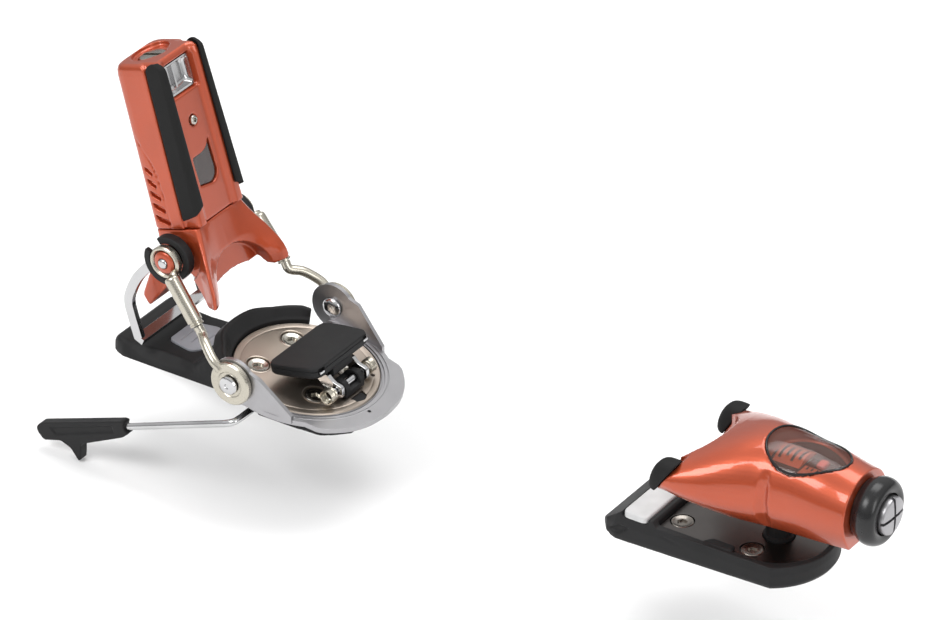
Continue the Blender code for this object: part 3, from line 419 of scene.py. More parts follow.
def ramp(mat, source, output, low, high, start=0.3, end=0.7):
    node = mat.node_tree.nodes.new("ShaderNodeValToRGB")
    node.color_ramp.elements[0].position = start
    node.color_ramp.elements[1].position = end
    node.color_ramp.elements[0].color = (*low, 1) if isinstance(low, tuple) else (low, low, low, 1)
    node.color_ramp.elements[1].color = (*high, 1) if isinstance(high, tuple) else (high, high, high, 1)
    link(mat, source, output, node, "Fac")
    return node


def bump(mat, shader, source, output, strength, depth):
    node = mat.node_tree.nodes.new("ShaderNodeBump")
    node.inputs["Strength"].default_value = strength
    node.inputs["Distance"].default_value = depth * MM
    link(mat, source, output, node, "Height")
    link(mat, node, "Normal", shader, "Normal")
    return node


def shade(color, factor):
    return tuple(c * factor for c in color)


def paint(name, color):
    """Metallic lacquer: coloured flake under a clear coat, a little orange peel on top."""
    mat, shader = new_material(name, color, 0.36, 0.62, coat=0.85, coat_rough=0.07)
    where = coordinates(mat)
    flake = mat.node_tree.nodes.new("ShaderNodeTexVoronoi")
    flake.inputs["Scale"].default_value = 5200
    link(mat, where, "Vector", flake, "Vector")
    cloud = noise_node(mat, where, 38, 2)
    mix = mat.node_tree.nodes.new("ShaderNodeMix")
    mix.data_type = "RGBA"
    mix.inputs[0].default_value = 0.35
    tint = ramp(mat, flake, "Distance", shade(color, 0.80), shade(color, 1.25), 0.1, 0.6)
    tone = ramp(mat, cloud, "Fac", shade(color, 0.93), shade(color, 1.07))
    mat.node_tree.links.new(tone.outputs["Color"], mix.inputs[6])
    mat.node_tree.links.new(tint.outputs["Color"], mix.inputs[7])
    mat.node_tree.links.new(mix.outputs[2], shader.inputs["Base Color"])
    rough = ramp(mat, flake, "Distance", 0.30, 0.42, 0.0, 0.7)
    link(mat, rough, "Color", shader, "Roughness")
    peel = noise_node(mat, where, 420, 2)
    bump(mat, shader, peel, "Fac", 0.10, 0.05)
    return mat


def moulding(name, color, rough, grain=1700, depth=0.05, strength=0.45, spec=0.4):
    """Moulded plastic or rubber with a fine eroded grain and faint wear in its sheen."""
    mat, shader = new_material(name, color, rough, spec=spec)
    where = coordinates(mat)
    fine = noise_node(mat, where, grain, 4, 0.6)
    broad = noise_node(mat, where, 60, 3)
    tone = ramp(mat, broad, "Fac", shade(color, 0.86), shade(color, 1.18))
    link(mat, tone, "Color", shader, "Base Color")
    wear = ramp(mat, broad, "Fac", rough - 0.05, rough + 0.07)
    link(mat, wear, "Color", shader, "Roughness")
    bump(mat, shader, fine, "Fac", strength, depth)
    return mat


def metal(name, color, rough, stretch=(1, 1, 1), scale=600, strength=0.10, depth=0.03):
    """Plated or brushed metal: fine scratches along one way and a cloudy sheen."""
    mat, shader = new_material(name, color, rough, 1.0)
    streak = noise_node(mat, coordinates(mat, stretch), scale, 3, 0.5)
    cloud = noise_node(mat, coordinates(mat), 45, 3)
    tone = ramp(mat, cloud, "Fac", shade(color, 0.92), shade(color, 1.06))
    link(mat, tone, "Color", shader, "Base Color")
    sheen = ramp(mat, streak, "Fac", max(rough - 0.03, 0.03), rough + 0.04)
    link(mat, sheen, "Color", shader, "Roughness")
    bump(mat, shader, streak, "Fac", strength, depth)
    return mat


def turned_metal(name, color, rough, rings=900, centre=(0, 0, 0)):
    """Metal with fine lathe rings about the turntable's axis."""
    mat, shader = new_material(name, color, rough, 1.0)
    where = coordinates(mat)
    where.inputs["Location"].default_value = tuple(-c for c in centre)
    wave = mat.node_tree.nodes.new("ShaderNodeTexWave")
    wave.wave_type = "RINGS"
    wave.rings_direction = "Z"
    wave.inputs["Scale"].default_value = rings
    wave.inputs["Distortion"].default_value = 1.5
    link(mat, where, "Vector", wave, "Vector")
    cloud = noise_node(mat, coordinates(mat), 28, 3)
    tone = ramp(mat, cloud, "Fac", shade(color, 0.90), shade(color, 1.08))
    link(mat, tone, "Color", shader, "Base Color")
    sheen = ramp(mat, cloud, "Fac", rough - 0.04, rough + 0.08)
    link(mat, sheen, "Color", shader, "Roughness")
    bump(mat, shader, wave, "Fac", 0.06, 0.02)
    return mat


def clear(name, color, alpha, rough=0.04):
    mat, shader = new_material(name, color, rough, coat=1.0, coat_rough=0.02, alpha=alpha, spec=0.6)
    ripple = noise_node(mat, coordinates(mat), 90, 1)
    bump(mat, shader, ripple, "Fac", 0.03, 0.05)
    return mat


ORANGE = paint("lacquer_orange", (0.41, 0.060, 0.017))
BLACK = moulding("moulding_black", (0.013, 0.013, 0.0135), 0.52, spec=0.22)
RUBBER = moulding("rubber_black", (0.010, 0.010, 0.010), 0.68, 1300, 0.06, spec=0.20)
GLOSS = moulding("moulding_gloss", (0.010, 0.010, 0.0105), 0.22, 500, 0.01, 0.1, 0.4)
GREY = moulding("moulding_grey", (0.32, 0.33, 0.36), 0.42, spec=0.3)
WHITE = moulding("low_friction_white", (0.50, 0.50, 0.50), 0.34, 700, 0.02, 0.2)
SCALE = moulding("printed_scale", (0.50, 0.085, 0.03), 0.45)
RED = moulding("marker_red", (0.72, 0.05, 0.02), 0.35)
NICKEL = metal("nickel_plate", (0.50, 0.47, 0.40), 0.27, scale=3200, strength=0.02, depth=0.01)
SCREW = metal("screw_nickel", (0.52, 0.50, 0.45), 0.22, scale=3200, strength=0.02, depth=0.01)
STEEL = metal("steel_polished", (0.54, 0.54, 0.545), 0.15, (1, 8, 1), 900, 0.02, 0.01)
SATIN = metal("aluminium_satin", (0.37, 0.365, 0.375), 0.36, (1, 12, 1), 420, 0.05, 0.02)
BRONZE = turned_metal("disc_bronze", (0.40, 0.345, 0.295), 0.34, 900, tuple(TABLE * MM))
GUNMETAL = metal("plate_gunmetal", (0.10, 0.092, 0.088), 0.32, (1, 9, 1), 380, 0.05)
DARK_STEEL = metal("screw_dark", (0.22, 0.20, 0.18), 0.28, scale=3200, strength=0.02, depth=0.01)
CLEAR = clear("window_clear", (0.16, 0.07, 0.05), 0.24)
SMOKED = clear("window_smoked", (0.030, 0.014, 0.012), 0.78, 0.10)


# ---------------------------------------------------------------- heel: fixed pieces

def table_height(x, over=0.0):
    slope = TABLE_UP.x / TABLE_UP.z
    return TABLE.z + over / TABLE_UP.z - (x - TABLE.x) * slope


def table_local(x, z):
    dx, dz = x - TABLE.x, z - TABLE.z
    return dx * TABLE_UP.z - dz * TABLE_UP.x, dx * TABLE_UP.x + dz * TABLE_UP.z


def make_heel_base():
    """The sole: a scooped rear deck with a lip, rising to the turntable, drawn in along its flanks."""
    deck, top = 7.0, -3.1
    rows = [(-81.0, 19.3, 3.8, 0.0), (-80.0, 21.0, 7.0, 0.2), (-77.6, 22.6, 8.8, 0.6),
            (-74.0, 24.0, 8.6, 1.2), (-70.0, 24.2, 7.2, 2.2), (-64.0, 24.2, 6.7, 3.6),
            (-54.0, 24.2, 6.8, 4.4), (-44.0, 24.2, 7.0, 4.0), (-37.0, 24.2, 7.4, 2.6),
            (-33.5, 24.2, 9.0, 1.6), (-30.5, 24.2, 12.2, 1.0)]
    under_table = ((-27.0, 24.2), (-16.0, 24.3), (-3.0, 27.6), (7.0, 31.4),
                   (24.0, 31.5), (40.0, 30.5), (46.0, 26.0), (50.9, 20.5))
    rows += [(x, half, table_height(x, top), 0.5) for x, half in under_table]
    rings = []
    for x, half, high, scoop in rows:
        edge = min(1.5, 0.4 * high)
        waist = 0.45 * high
        rings.append([(x, -half + 0.6, 0), (x, half - 0.6, 0), (x, half, 0.7), (x, half - 0.4 * scoop, waist),
                      (x, half - scoop, high - edge), (x, half - scoop - edge, high), (x, 0, high),
                      (x, -half + scoop + edge, high), (x, -half + scoop, high - edge),
                      (x, -half + 0.4 * scoop, waist), (x, -half, 0.7)])
    item = solid("heel_base_moulding", loft(rings))
    for sign in (1, -1):
        low, high = span(sign, 13.0, 36.0)
        carve(item, box((BRAKE.x - 2.4, low, -1.0), (BRAKE.x + 2.4, high, BRAKE.z + 2.3)))
        low, high = span(sign, 25.6, 40.0)
        carve(item, box((12.0, low, 2.0), (33.0, high, 3.4)))
    carve(item, prism(inlay(GAP), deck - 1.2, deck + 4))
    soften(item, 0.6, 3, 0.45)
    finish_piece(item, WORLD, "root", BLACK, ["heel_base"])
    item = solid("heel_inlay_plate", prism(inlay(), deck - 0.9, deck + 0.5))
    for k in range(3):
        low = -53.0 + 5.0 * k
        carve(item, box((low, -7.0 + k, deck + 0.1), (low + 1.1, 7.0 - k, deck + 2)))
    bevel(item, 0.35)
    finish_piece(item, WORLD, "root", GREY, ["heel_inlay"])


def inlay(grow=0.0):
    return rounded([(-58 - grow, -9 - grow), (-44 + grow, -12 - grow), (-38 + grow, -6),
                    (-38 + grow, 6), (-44 + grow, 12 + grow), (-58 - grow, 9 + grow)], 2.5, 4)


def make_guard():
    """The band behind the disc: its broad face slopes down from the outer crest to the disc."""
    low, top, lip, inner = -2.8, 6.2, 1.8, 34.3
    rings = []
    for k in range(61):
        angle = 123.0 + 114.0 * k / 60
        off = abs(angle - 180.0)
        draw_in = 2.4 * min(1.0, max(0.0, (off - 16.0) / 14.0)) + 1.8 * max(0.0, (off - 51.0) / 6.0)
        outer, crest = 44.6 - draw_in, 41.6 - draw_in
        profile = [(inner, low), (outer, low), (outer, lip), (crest + 0.5, top - 0.7), (crest - 0.2, top),
                   (crest - 1.6, top - 0.3), (inner + 1.0, lip + 0.3), (inner, lip - 0.3)]
        a = radians(angle)
        rings.append([(r * cos(a), r * sin(a), h) for r, h in profile])
    item = solid("heel_guard_band", loft(rings))
    soften(item, 0.45, 2, 0.5)
    finish_piece(item, ON_TABLE, "turntable", BLACK, ["heel_guard"])


def torx(radius, depth, top):
    """A six-lobed drive recess, as a cutter."""
    outline = []
    for k in range(48):
        a = 2 * pi * k / 48
        r = radius * (1.0 - 0.17 * (0.5 - 0.5 * cos(6 * a)))
        outline.append((r * cos(a), r * sin(a)))
    return prism(outline, top - depth, top + 2)


def screw_head(name, height, mat, where, body, node):
    """A countersunk head with a raised rim, a dished face and a drive recess."""
    r = SCREW_HEAD_R
    item = solid(name, turned([(0, -height), (r * 0.55, -height), (r, -0.9), (r, -0.25), (r - 0.3, 0.0),
                               (r - 0.9, -0.05), (r - 1.6, -0.55), (0, -0.6)]))
    carve(item, torx(2.5, 0.9, -0.55))
    bevel(item, 0.12, 2, 40)
    finish_piece(item, where, body, mat, [node])


def make_disc():
    hub, bottom = 27.6, -2.8
    item = solid("heel_disc_plate", turned([(0, bottom), (hub, bottom), (hub, -1.1), (DISC_R, -1.1),
                                            (DISC_R, -0.5), (DISC_R - 0.5, 0.0), (DISC_R - 2.6, 0.0),
                                            (DISC_R - 3.0, -0.25), (DISC_R - 3.6, -0.25), (DISC_R - 4.0, 0.0),
                                            (0, 0.0)], sides=128))
    for _, x, y in HEEL_SCREWS:
        u = (x - TABLE.x) / TABLE_UP.z
        for sign in (1, -1):
            rim = turned([(SCREW_HEAD_R + 0.5, -0.4), (SCREW_HEAD_R + 1.3, -0.4), (SCREW_HEAD_R + 1.3, 0.15),
                          (SCREW_HEAD_R + 0.9, 0.3), (SCREW_HEAD_R + 0.5, 0.15)],
                         (u, y * sign, 0), sides=48, closed=True)
            seat = turned([(0, -2.75), (3.3, -2.75), (SCREW_HEAD_R + 0.4, -1.2), (SCREW_HEAD_R + 0.5, 2.0),
                           (0, 2.0)], (u, y * sign, 0), sides=48)
            fuse(item, rim)
            carve(item, seat)
    pocket = rounded([(27.4, -4.6), (31.2, -3.6), (32.4, 0.0), (31.2, 3.6), (27.4, 4.6)], 0.6, 3)
    carve(item, prism(pocket, -1.5, 3), rod(1.1, -1.5, 3, (24.4, 17.4, 0), sides=24))
    finish_piece(item, ON_TABLE, "root", BRONZE, ["heel_disc"])
    lining = [(u - 0.03 * (u - 29.5), v * 0.97) for u, v in pocket]
    dark = bevel(solid("disc_pocket_floor", prism(lining, -1.49, -0.9)), 0.1)
    finish_piece(dark, ON_TABLE, "root", BLACK)
    for row, x, y in HEEL_SCREWS:
        u = (x - TABLE.x) / TABLE_UP.z
        for side, sign in SIDES:
            spot = ON_TABLE @ Matrix.Translation(Vector((u, y * sign, -0.35)) * MM)
            screw_head(f"heel_screw_head_{row}_{side}", 2.0, SCREW, spot, "root", f"heel_screw_{row}_{side}")


# ---------------------------------------------------------------- heel: turntable and arms

def ring_outline():
    """The ring seen from above: round at the back, drawn out to a blunt lip in front."""
    front = [(28.6, -32.4), (32.6, -29.8), (39.4, -21.6), (43.2, -12.6), (LIP_FRONT, -3.0),
             (LIP_FRONT, 3.0), (43.2, 12.6), (39.4, 21.6), (32.6, 29.8), (28.6, 32.4)]
    edge = (arc((0, 0), RING_R, 56, 110, 20) + arc((0, 0), RING_BACK_R, 117, 243, 40) +
            arc((0, 0), RING_R, 250, 304, 20))
    return edge + [tuple(p) for p in curve_through(front, 5)]


def ear_shape(sign):
    """An ear in the table's frame: flat round the hinge, then bent inwards to a low tip."""
    crown = arc(table_local(0.0, HINGE.z), 11.4, 48, 262, 40)
    flat = [table_local(14.0, 25.2)] + crown + [table_local(3.0, 9.6), table_local(14.0, 8.3)]
    tip = [table_local(29.2, 6.2), table_local(29.2, 9.8)]
    side_view = [(u, w, EAR_IN_Y) for u, w in flat] + [(u, w, 35.0) for u, w in tip]
    thick, count = EAR_OUT_Y - EAR_IN_Y, len(side_view)
    points = [(u, sign * (y + push), w) for push in (0.0, thick) for u, w, y in side_view]
    faces = [(i, (i + 1) % count, (i + 1) % count + count, i + count) for i in range(count)]
    for first in (0, count):
        faces.append(tuple(range(first, first + count - 2)))
        faces.append((first + count - 3, first + count - 2, first + count - 1, first))
    return points, faces


def make_ring():
    """The steel ring with its two ears, turned grooves round the disc and a blunt front lip."""
    bottom, top, shelf = -2.7, -0.2, -1.4
    item = solid("turntable_plate", prism(ring_outline(), bottom, top))
    groove = turned([(34.6, -0.75), (35.0, -0.85), (35.6, -0.85), (36.0, 1), (34.6, 1)],
                    sides=128, closed=True)
    fine = turned([(36.9, -0.5), (37.2, -0.6), (37.6, -0.6), (37.8, 1), (36.9, 1)],
                  sides=128, closed=True)
    wide = DISC_R + 0.45
    seat = turned([(0, -6), (28.1, -6), (28.1, shelf), (wide, shelf), (wide, 3), (0, 3)], sides=128)
    carve(item, seat, groove, fine)
    carve(item, rod(0.9, -6, 3, (38.6, -5.6, 0), sides=24))
    hinge_u, hinge_w = table_local(0.0, HINGE.z)
    for sign in (1, -1):
        fuse(item, ear_shape(sign))
        low, high = span(sign, 30.0, 50.0)
        carve(item, rod(HOLE_R, low, high, (hinge_u, 0, hinge_w), "Y", 48))
    bevel(item, 0.35, 3, 40)
    finish_piece(item, ON_TABLE, "turntable", SATIN, ["turntable_ring"])


def make_hinge_pins():
    hinge_u, hinge_w = table_local(0.0, HINGE.z)
    inner, outer = EAR_IN_Y - GAP, EYE_OUT_Y + GAP
    dome = [(5.0 * sin(radians(a)), inner - 0.35 - 2.0 * cos(radians(a))) for a in range(0, 91, 10)]
    profile = dome + [(5.0, inner), (2.6, inner), (2.6, outer), (4.4, outer), (4.5, outer + 0.7),
                      (4.1, outer + 1.4), (3.2, outer + 1.8), (1.3, outer + 1.8),
                      (1.0, outer + 1.2), (0, outer + 0.9)]
    item = solid("pin", turned(profile, (hinge_u, 0, hinge_w), "Y", 48))
    pair(item, "hinge_rivet", ON_TABLE, "turntable", STEEL, ["hinge_pin"])


def make_arms():
    """Eyes and bent rods, the sleeves that screw onto them, and the axle's eyes."""
    rise = AXLE.z - HINGE.z
    low, high = Vector((-23.6, 34.1, 18.6)), Vector((-38.2, 33.3, 38.6))
    along = (high - low).normalized()
    eye = [(HOLE_R, EYE_IN_Y), (EYE_R - 0.3, EYE_IN_Y), (EYE_R, EYE_IN_Y + 0.4), (EYE_R, EYE_OUT_Y - 0.6),
           (EYE_R - 0.6, EYE_OUT_Y), (6.4, EYE_OUT_Y), (6.0, EYE_OUT_Y - 0.35), (HOLE_R, EYE_OUT_Y - 0.35)]
    item = solid("rod", turned(eye, axis="Y", sides=96, closed=True))
    route = curve_through([(-5.4, 42.0, 5.6), (-9.6, 41.9, 9.0), (-16.2, 38.3, 13.4),
                           tuple(low - along * 4.4), tuple(low - along * GAP)], 8)
    fuse(item, tube(route, 2.3, 28))
    pair(item, "arm_rod_bent", ON_HINGE, "arms", NICKEL, ["arm_rod"])

    stations = ((0.0, 2.5), (0.15, 3.3), (0.8, 3.3), (1.0, 3.0), (1.9, 3.0), (2.2, 3.6), (0.97, 3.6))
    length = (high - low).length
    steps = [s for s, _ in stations[:-1]] + [length - 1.2, length - 0.4, length]
    radii = [r for _, r in stations[:-1]] + [3.6, 3.3, 2.9]
    item = solid("sleeve", tube([low + along * s for s in steps], radii, 40))
    neck = curve_through([tuple(high - along * 0.6), (-38.4, 31.6, 39.0), (-40.6, 28.5, 39.8)], 6)
    fuse(item, tube(neck, [2.8 - 0.8 * k / 12 for k in range(13)], 24))
    ring = turned([(0, 26.6), (7.6, 26.6), (7.9, 26.9), (7.9, 29.4), (7.3, 30.1), (0, 30.1)],
                  (AXLE.x, 0, rise), "Y", 64)
    fuse(item, ring)
    bore = [(0, 20), (5.9, 20), (5.9, 29.4), (6.5, 30.1), (6.5, 40), (0, 40)]
    carve(item, turned(bore, (AXLE.x, 0, rise), "Y", 64))
    pair(item, "arm_sleeve_round", ON_HINGE, "arms", NICKEL, ["arm_sleeve"])

    cam = arc((AXLE.x, rise), 11.4, 160, 282, 36) + arc((AXLE.x, rise), 8.2, 282, 160, 24)
    item = bevel(solid("cam", prism(cam, 26.7, 29.5, "Y")), 0.5, 3, 50)
    pair(item, "pivot_cam_black", ON_HINGE, "arms", BLACK, ["pivot_cam"])

    end = 31.8
    half = [(2.4, 30.0), (2.4, 30.9), (2.1, 31.4), (1.5, end - 0.1), (0.7, end), (0, end)]
    axle = turned([(r, -h) for r, h in half[::-1]] + half, (AXLE.x, 0, rise), "Y", 48)
    finish_piece(solid("pivot_axle_pin", axle), ON_HINGE, "arms", STEEL, ["pivot_axle"])


def make_stirrup():
    """The strap loop behind the tower, bent from one flat bar."""
    path = curve_through([(-4.6, -2.0), (-11.0, -7.0), (-18.0, -15.2), (-22.3, -24.0), (-23.5, -29.6),
                          (-22.3, -35.6), (-18.5, -47.4)], 6)
    leg = ribbon([tuple(p) for p in path], 4.6)
    item = solid("stirrup_strap", prism(leg, 23.3, 26.1, "Y"))
    fuse(item, prism(leg, -26.1, -23.3, "Y"))
    foot = ribbon([(-20.1, -47.1), (-15.8, -49.0)], 3.0)
    fuse(item, prism(foot, -26.1, 26.1, "Y"))
    for sign in (1, -1):
        low, high = span(sign, 23.3, 26.1)
        fuse(item, rod(6.2, low, high, axis="Y", sides=64))
    carve(item, rod(3.3, -40, 40, axis="Y", sides=48))
    bevel(item, 0.5, 3, 45)
    finish_piece(item, ON_AXLE, "stirrup", STEEL, ["stirrup"])


# ---------------------------------------------------------------- heel: tower

def tower_half(t):
    return TOWER_HALF_LOW + (TOWER_HALF_HIGH - TOWER_HALF_LOW) * (t - SEAM_T) / (TOWER_TOP - SEAM_T)


def tower_section(t, shrink=0.0, front=0.0):
    half = tower_half(t) - shrink
    rear, rail = TOWER_REAR + shrink, TOWER_RAIL - shrink - front
    panel = TOWER_PANEL - shrink
    corner = [tuple(p) for p in curve_through([(rear, 0.62 * half), (rear + 0.7, half - 2.6),
                                               (rear + 2.6, half - 0.6), (rear + 5.6, half)], 3)]
    side = corner + [(rail - 8.8, half), (rail - 8.3, half - STRIP_THICK), (rail - 1.4, half - STRIP_THICK),
                     (rail - 0.4, half - STRIP_THICK - 0.4), (rail, half - STRIP_THICK - 1.4), (rail, 12.4),
                     (rail - 0.5, 11.4), (panel + 0.5, 9.9), (panel, 8.8)]
    return [(s, y, t) for s, y in side] + [(s, -y, t) for s, y in side[::-1]]


def heel_window_outline(grow=0.0):
    """A window with a swept top and a round lower corner, (y, t)."""
    g = grow
    foot = arc((1.8, 31.2), 5.2 + g, -90, 0, 8)
    top = curve_through([(6.4 + g, 47.6 + g), (5.2, 43.6 + g), (2.6, 41.6 + g), (-1.6, 40.8 + g),
                         (-6.6 - g, 40.8 + g)], 3)
    return [(-6.2 - g, 27.6 - g)] + foot + [tuple(p) for p in top]


def vent(k):
    """One of the slanting side slots, (s, t), counted from the top."""
    t = 41.8 - 5.95 * k
    reach = -3.6 + 0.75 * k
    return rounded([(-8.0, t + 0.3), (reach, t - 2.2), (reach, t - 5.2), (-7.0, t - 2.5)], 0.5, 2)


def make_tower():
    levels = [(SEAM_T + GAP, 0.4, 0.0), (SEAM_T + 0.9, 0.0, 0.0)]
    levels += [(t, 0.0, 0.0) for t in (24, 40, 56, 72, 85.5)]
    levels += [(88.2, 0.25, 0.2), (89.8, 0.9, 0.7), (TOWER_TOP, 2.2, 1.6)]
    item = solid("tower_shell", loft([tower_section(*level) for level in levels]))
    well = [(0, 13.0), (6.6, 13.0), (6.6, 85.0), (7.0, 85.4), (7.0, 88.9), (7.4, 92), (0, 92)]
    carve(item, turned(well, sides=48))
    oval = [(-1.6 + 7.4 * cos(2 * pi * k / 48), 0.8 + 11.0 * sin(2 * pi * k / 48)) for k in range(48)]
    carve(item, prism(oval, 88.6, 93.0))
    # the pole pocket's frame, chamfered towards the front
    frame_low = rounded([(-9.1, 71.3), (9.1, 71.3), (9.1, 86.7), (-9.1, 86.7)], 1.4, 3)
    frame_high = rounded([(-11.4, 69.0), (11.4, 69.0), (11.4, 88.6), (-11.4, 88.6)], 1.8, 3)
    carve(item, loft([[(TOWER_PANEL - 5.3, y, t) for y, t in frame_low],
                      [(TOWER_PANEL - 2.2, y, t) for y, t in frame_low],
                      [(TOWER_PANEL + 3.6, y, t) for y, t in frame_high]]))
    carve(item, prism(heel_window_outline(GAP), 4.0, 30.0, "X"))
    carve(item, rod(2.6, TOWER_PANEL - 3.3, 30, (0, 0, RIVET_T), "X", 32))
    seam = [tuple(p) for p in curve_through([(-9.4, 58.0), (-6.2, 51.0), (-2.6, 43.0), (-0.9, 34.0),
                                             (-0.2, 22.0), (-0.2, 8.0)], 6)]
    for sign in (1, -1):
        for k in range(5):
            low, high = span(sign, TOWER_HALF_LOW - 3.0, 30.0)
            carve(item, prism(vent(k), low, high, "Y"))
        groove = []
        for s, t in seam:
            inside = sign * (tower_half(t) - 0.8)
            groove.append([(s - 0.45, inside, t), (s + 0.45, inside, t),
                           (s + 0.45, sign * 30, t), (s - 0.45, sign * 30, t)])
        carve(item, loft(groove))
    soften(item, 0.45, 2, 0.45)
    finish_piece(item, ON_TOWER, "tower", ORANGE, ["tower_housing"])


def make_tower_trim():
    """Rubber strips on the rails, the pole pocket, the rivet and the window."""
    rings = []
    arch_t, arch_s, arch_r = 85.3, TOWER_RAIL - 3.2, 5.7
    for t in (15.6, 16.2, 20.0, 24.0, 40.0, 60.0, 80.0, arch_t, 86.6, 87.8, 88.8, 89.6, 90.2, 90.6, 90.9):
        half = tower_half(t)
        rise = max(0.0, (t - 84.6) / 6.8)
        round_off = 1.0 - sqrt(max(0.0, 1.0 - rise * rise))
        inner_y, outer_y = half - STRIP_THICK + GAP, half + 0.1 - 0.9 * round_off
        end_y = 12.7 + 2.6 * round_off
        chord = sqrt(arch_r ** 2 - max(0.0, t - arch_t) ** 2)
        rear = max(TOWER_RAIL - 8.0, arch_s - chord)
        front = min(TOWER_RAIL + 2.0 - (0.9 if t < 16 else 0.0), arch_s + chord)
        k = min(1.0, (front - rear) / 6.0)
        face = min(TOWER_RAIL + GAP, front - 0.5 * k)
        outline = [(rear, outer_y - 0.4), (rear + 0.5 * k, outer_y), (front - 2.0 * k, outer_y),
                   (front - 0.9 * k, outer_y - 0.5), (front - 0.2 * k, outer_y - 1.5), (front, outer_y - 2.6),
                   (front, end_y + 0.9), (front - 0.4 * k, end_y), (face, end_y), (face, inner_y - 1.5),
                   (face - 1.6 * k, inner_y), (rear, inner_y)]
        rings.append([(s, y, t) for s, y in outline])
    item = solid("strip", loft(rings))
    # the lower end is cut on a slant, lowest at the outer corner
    corners = [(0.0, 8.0), (30.0, 8.0), (30.0, 26.0), (0.0, 26.0)]
    carve(item, loft([[(s, y, 0.0) for s, y in corners],
                      [(s, y, 15.6 + 0.33 * (s - 7.4) + 0.5 * (17.6 - y)) for s, y in corners]]))
    soften(item, 0.4, 2, 0.5)
    pair(item, "grip_strip", ON_TOWER, "tower", RUBBER, ["side_strip"])

    shell = rounded([(-8.8, 71.6), (8.8, 71.6), (8.8, 86.4), (-8.8, 86.4)], 1.4, 4)
    item = solid("pole_pocket_cup", prism(shell, TOWER_PANEL - 5.0, TOWER_PANEL - 1.2, "X"))
    dish = []
    for k in range(7):
        grow = k / 6
        half_y, low, high = 5.6 + 2.9 * grow ** 0.5, 75.6 - 3.6 * grow ** 0.5, 84.0 + 2.0 * grow ** 0.5
        outline = rounded([(-half_y, low), (half_y, low), (half_y, high), (-half_y, high)], 2.4 - grow, 4)
        dish.append([(TOWER_PANEL - 4.4 + 4.4 * grow, y, t) for y, t in outline])
    carve(item, loft(dish))
    fuse(item, prism(ribbon([(-1.0, 73.6), (-1.0, 84.6)], 0.9), TOWER_PANEL - 4.6, TOWER_PANEL - 3.0, "X"))
    bevel(item, 0.3, 2, 45)
    finish_piece(item, ON_TOWER, "tower", STEEL, ["pole_pocket"])

    face = TOWER_PANEL + 0.8
    dome = [(2.3, face - 0.4), (2.1, face), (1.6, face + 0.3), (0, face + 0.45)]
    profile = [(0, face - 3.6), (2.3, face - 3.6)] + dome
    item = solid("tower_rivet_dome", turned(profile, (0, 0, RIVET_T), "X", 48))
    hexagon = [(1.05 * cos(radians(a)), RIVET_T + 1.05 * sin(radians(a))) for a in range(0, 360, 60)]
    carve(item, prism(hexagon, face - 0.9, face + 2, "X"))
    bevel(item, 0.1, 2, 45)
    finish_piece(item, ON_TOWER, "tower", SCREW, ["tower_rivet"])

    pane = prism(heel_window_outline(), TOWER_PANEL - 2.6, TOWER_PANEL - 1.2, "X")
    item = bevel(solid("heel_window_pane", pane), 0.25)
    finish_piece(item, ON_TOWER, "tower", SMOKED, ["heel_window"])

    cover = arc((0, 0), 11.0, -66, 112, 48) + arc((0, 0), 7.6, 112, -66, 32)
    item = solid("cover", prism(cover, 21.4, 26.2, "Y"))
    bevel(item, 0.6, 3, 50)
    pair(item, "pivot_cover_black", ON_TOWER, "tower", BLACK, ["pivot_cover"])


def cup_section(t):
    """The cup's (s, y) outline at height t, between the CAD's own stations."""
    stations = [(11.0, 18.7, 13.6, 16.7, 12.9, -11.4), (4.0, 19.2, 15.6, 19.6, 13.2, -11.4),
                (-4.0, 20.0, 18.6, 23.6, 13.6, -10.8), (-12.0, 20.2, 21.2, 26.9, 13.2, -7.0),
                (-18.0, 21.0, 22.5, 28.6, 12.8, -5.0), (-23.4, 22.4, 22.0, 29.2, 12.4, -3.0)]
    for high, low in zip(stations, stations[1:]):
        if t >= low[0] or low is stations[-1]:
            mix = (high[0] - t) / (high[0] - low[0])
            half, cs, cy, ms, rear = (a + (b - a) * mix for a, b in zip(high[1:], low[1:]))
            break
    hollow = min(1.0, max(0.0, (9.0 - t) / 20.0))
    front = curve_through([(cs, cy - 1.0), (cs - 0.7 - 0.8 * hollow, cy - 4.6),
                           (ms + (cs - ms) * 0.42, 0.60 * cy), (ms + (cs - ms) * 0.08, 0.30 * cy),
                           (ms, 0.0)], 4)[:-1]
    side = curve_through([(rear, 0.6 * half), (rear + 1.6, half - 1.6), (rear + 5.0, half), (5.0, half)], 3)
    flare = min(1.0, max(0.0, (SEAM_T - t) / 14.0))
    side += [Vector((5.0 + (cs - 7.0) * 0.55, half + 0.40 * (cy - half))),
             Vector((cs - 2.6, cy + 0.7 - 1.6 * flare)), Vector((cs - 1.0, cy + 0.3 - 0.4 * flare))]
    half_ring = [(p.x, p.y) for p in side + front]
    return [(s, y, t) for s, y in half_ring] + [(ms, 0.0, t)] + [(s, -y, t) for s, y in half_ring[::-1]]


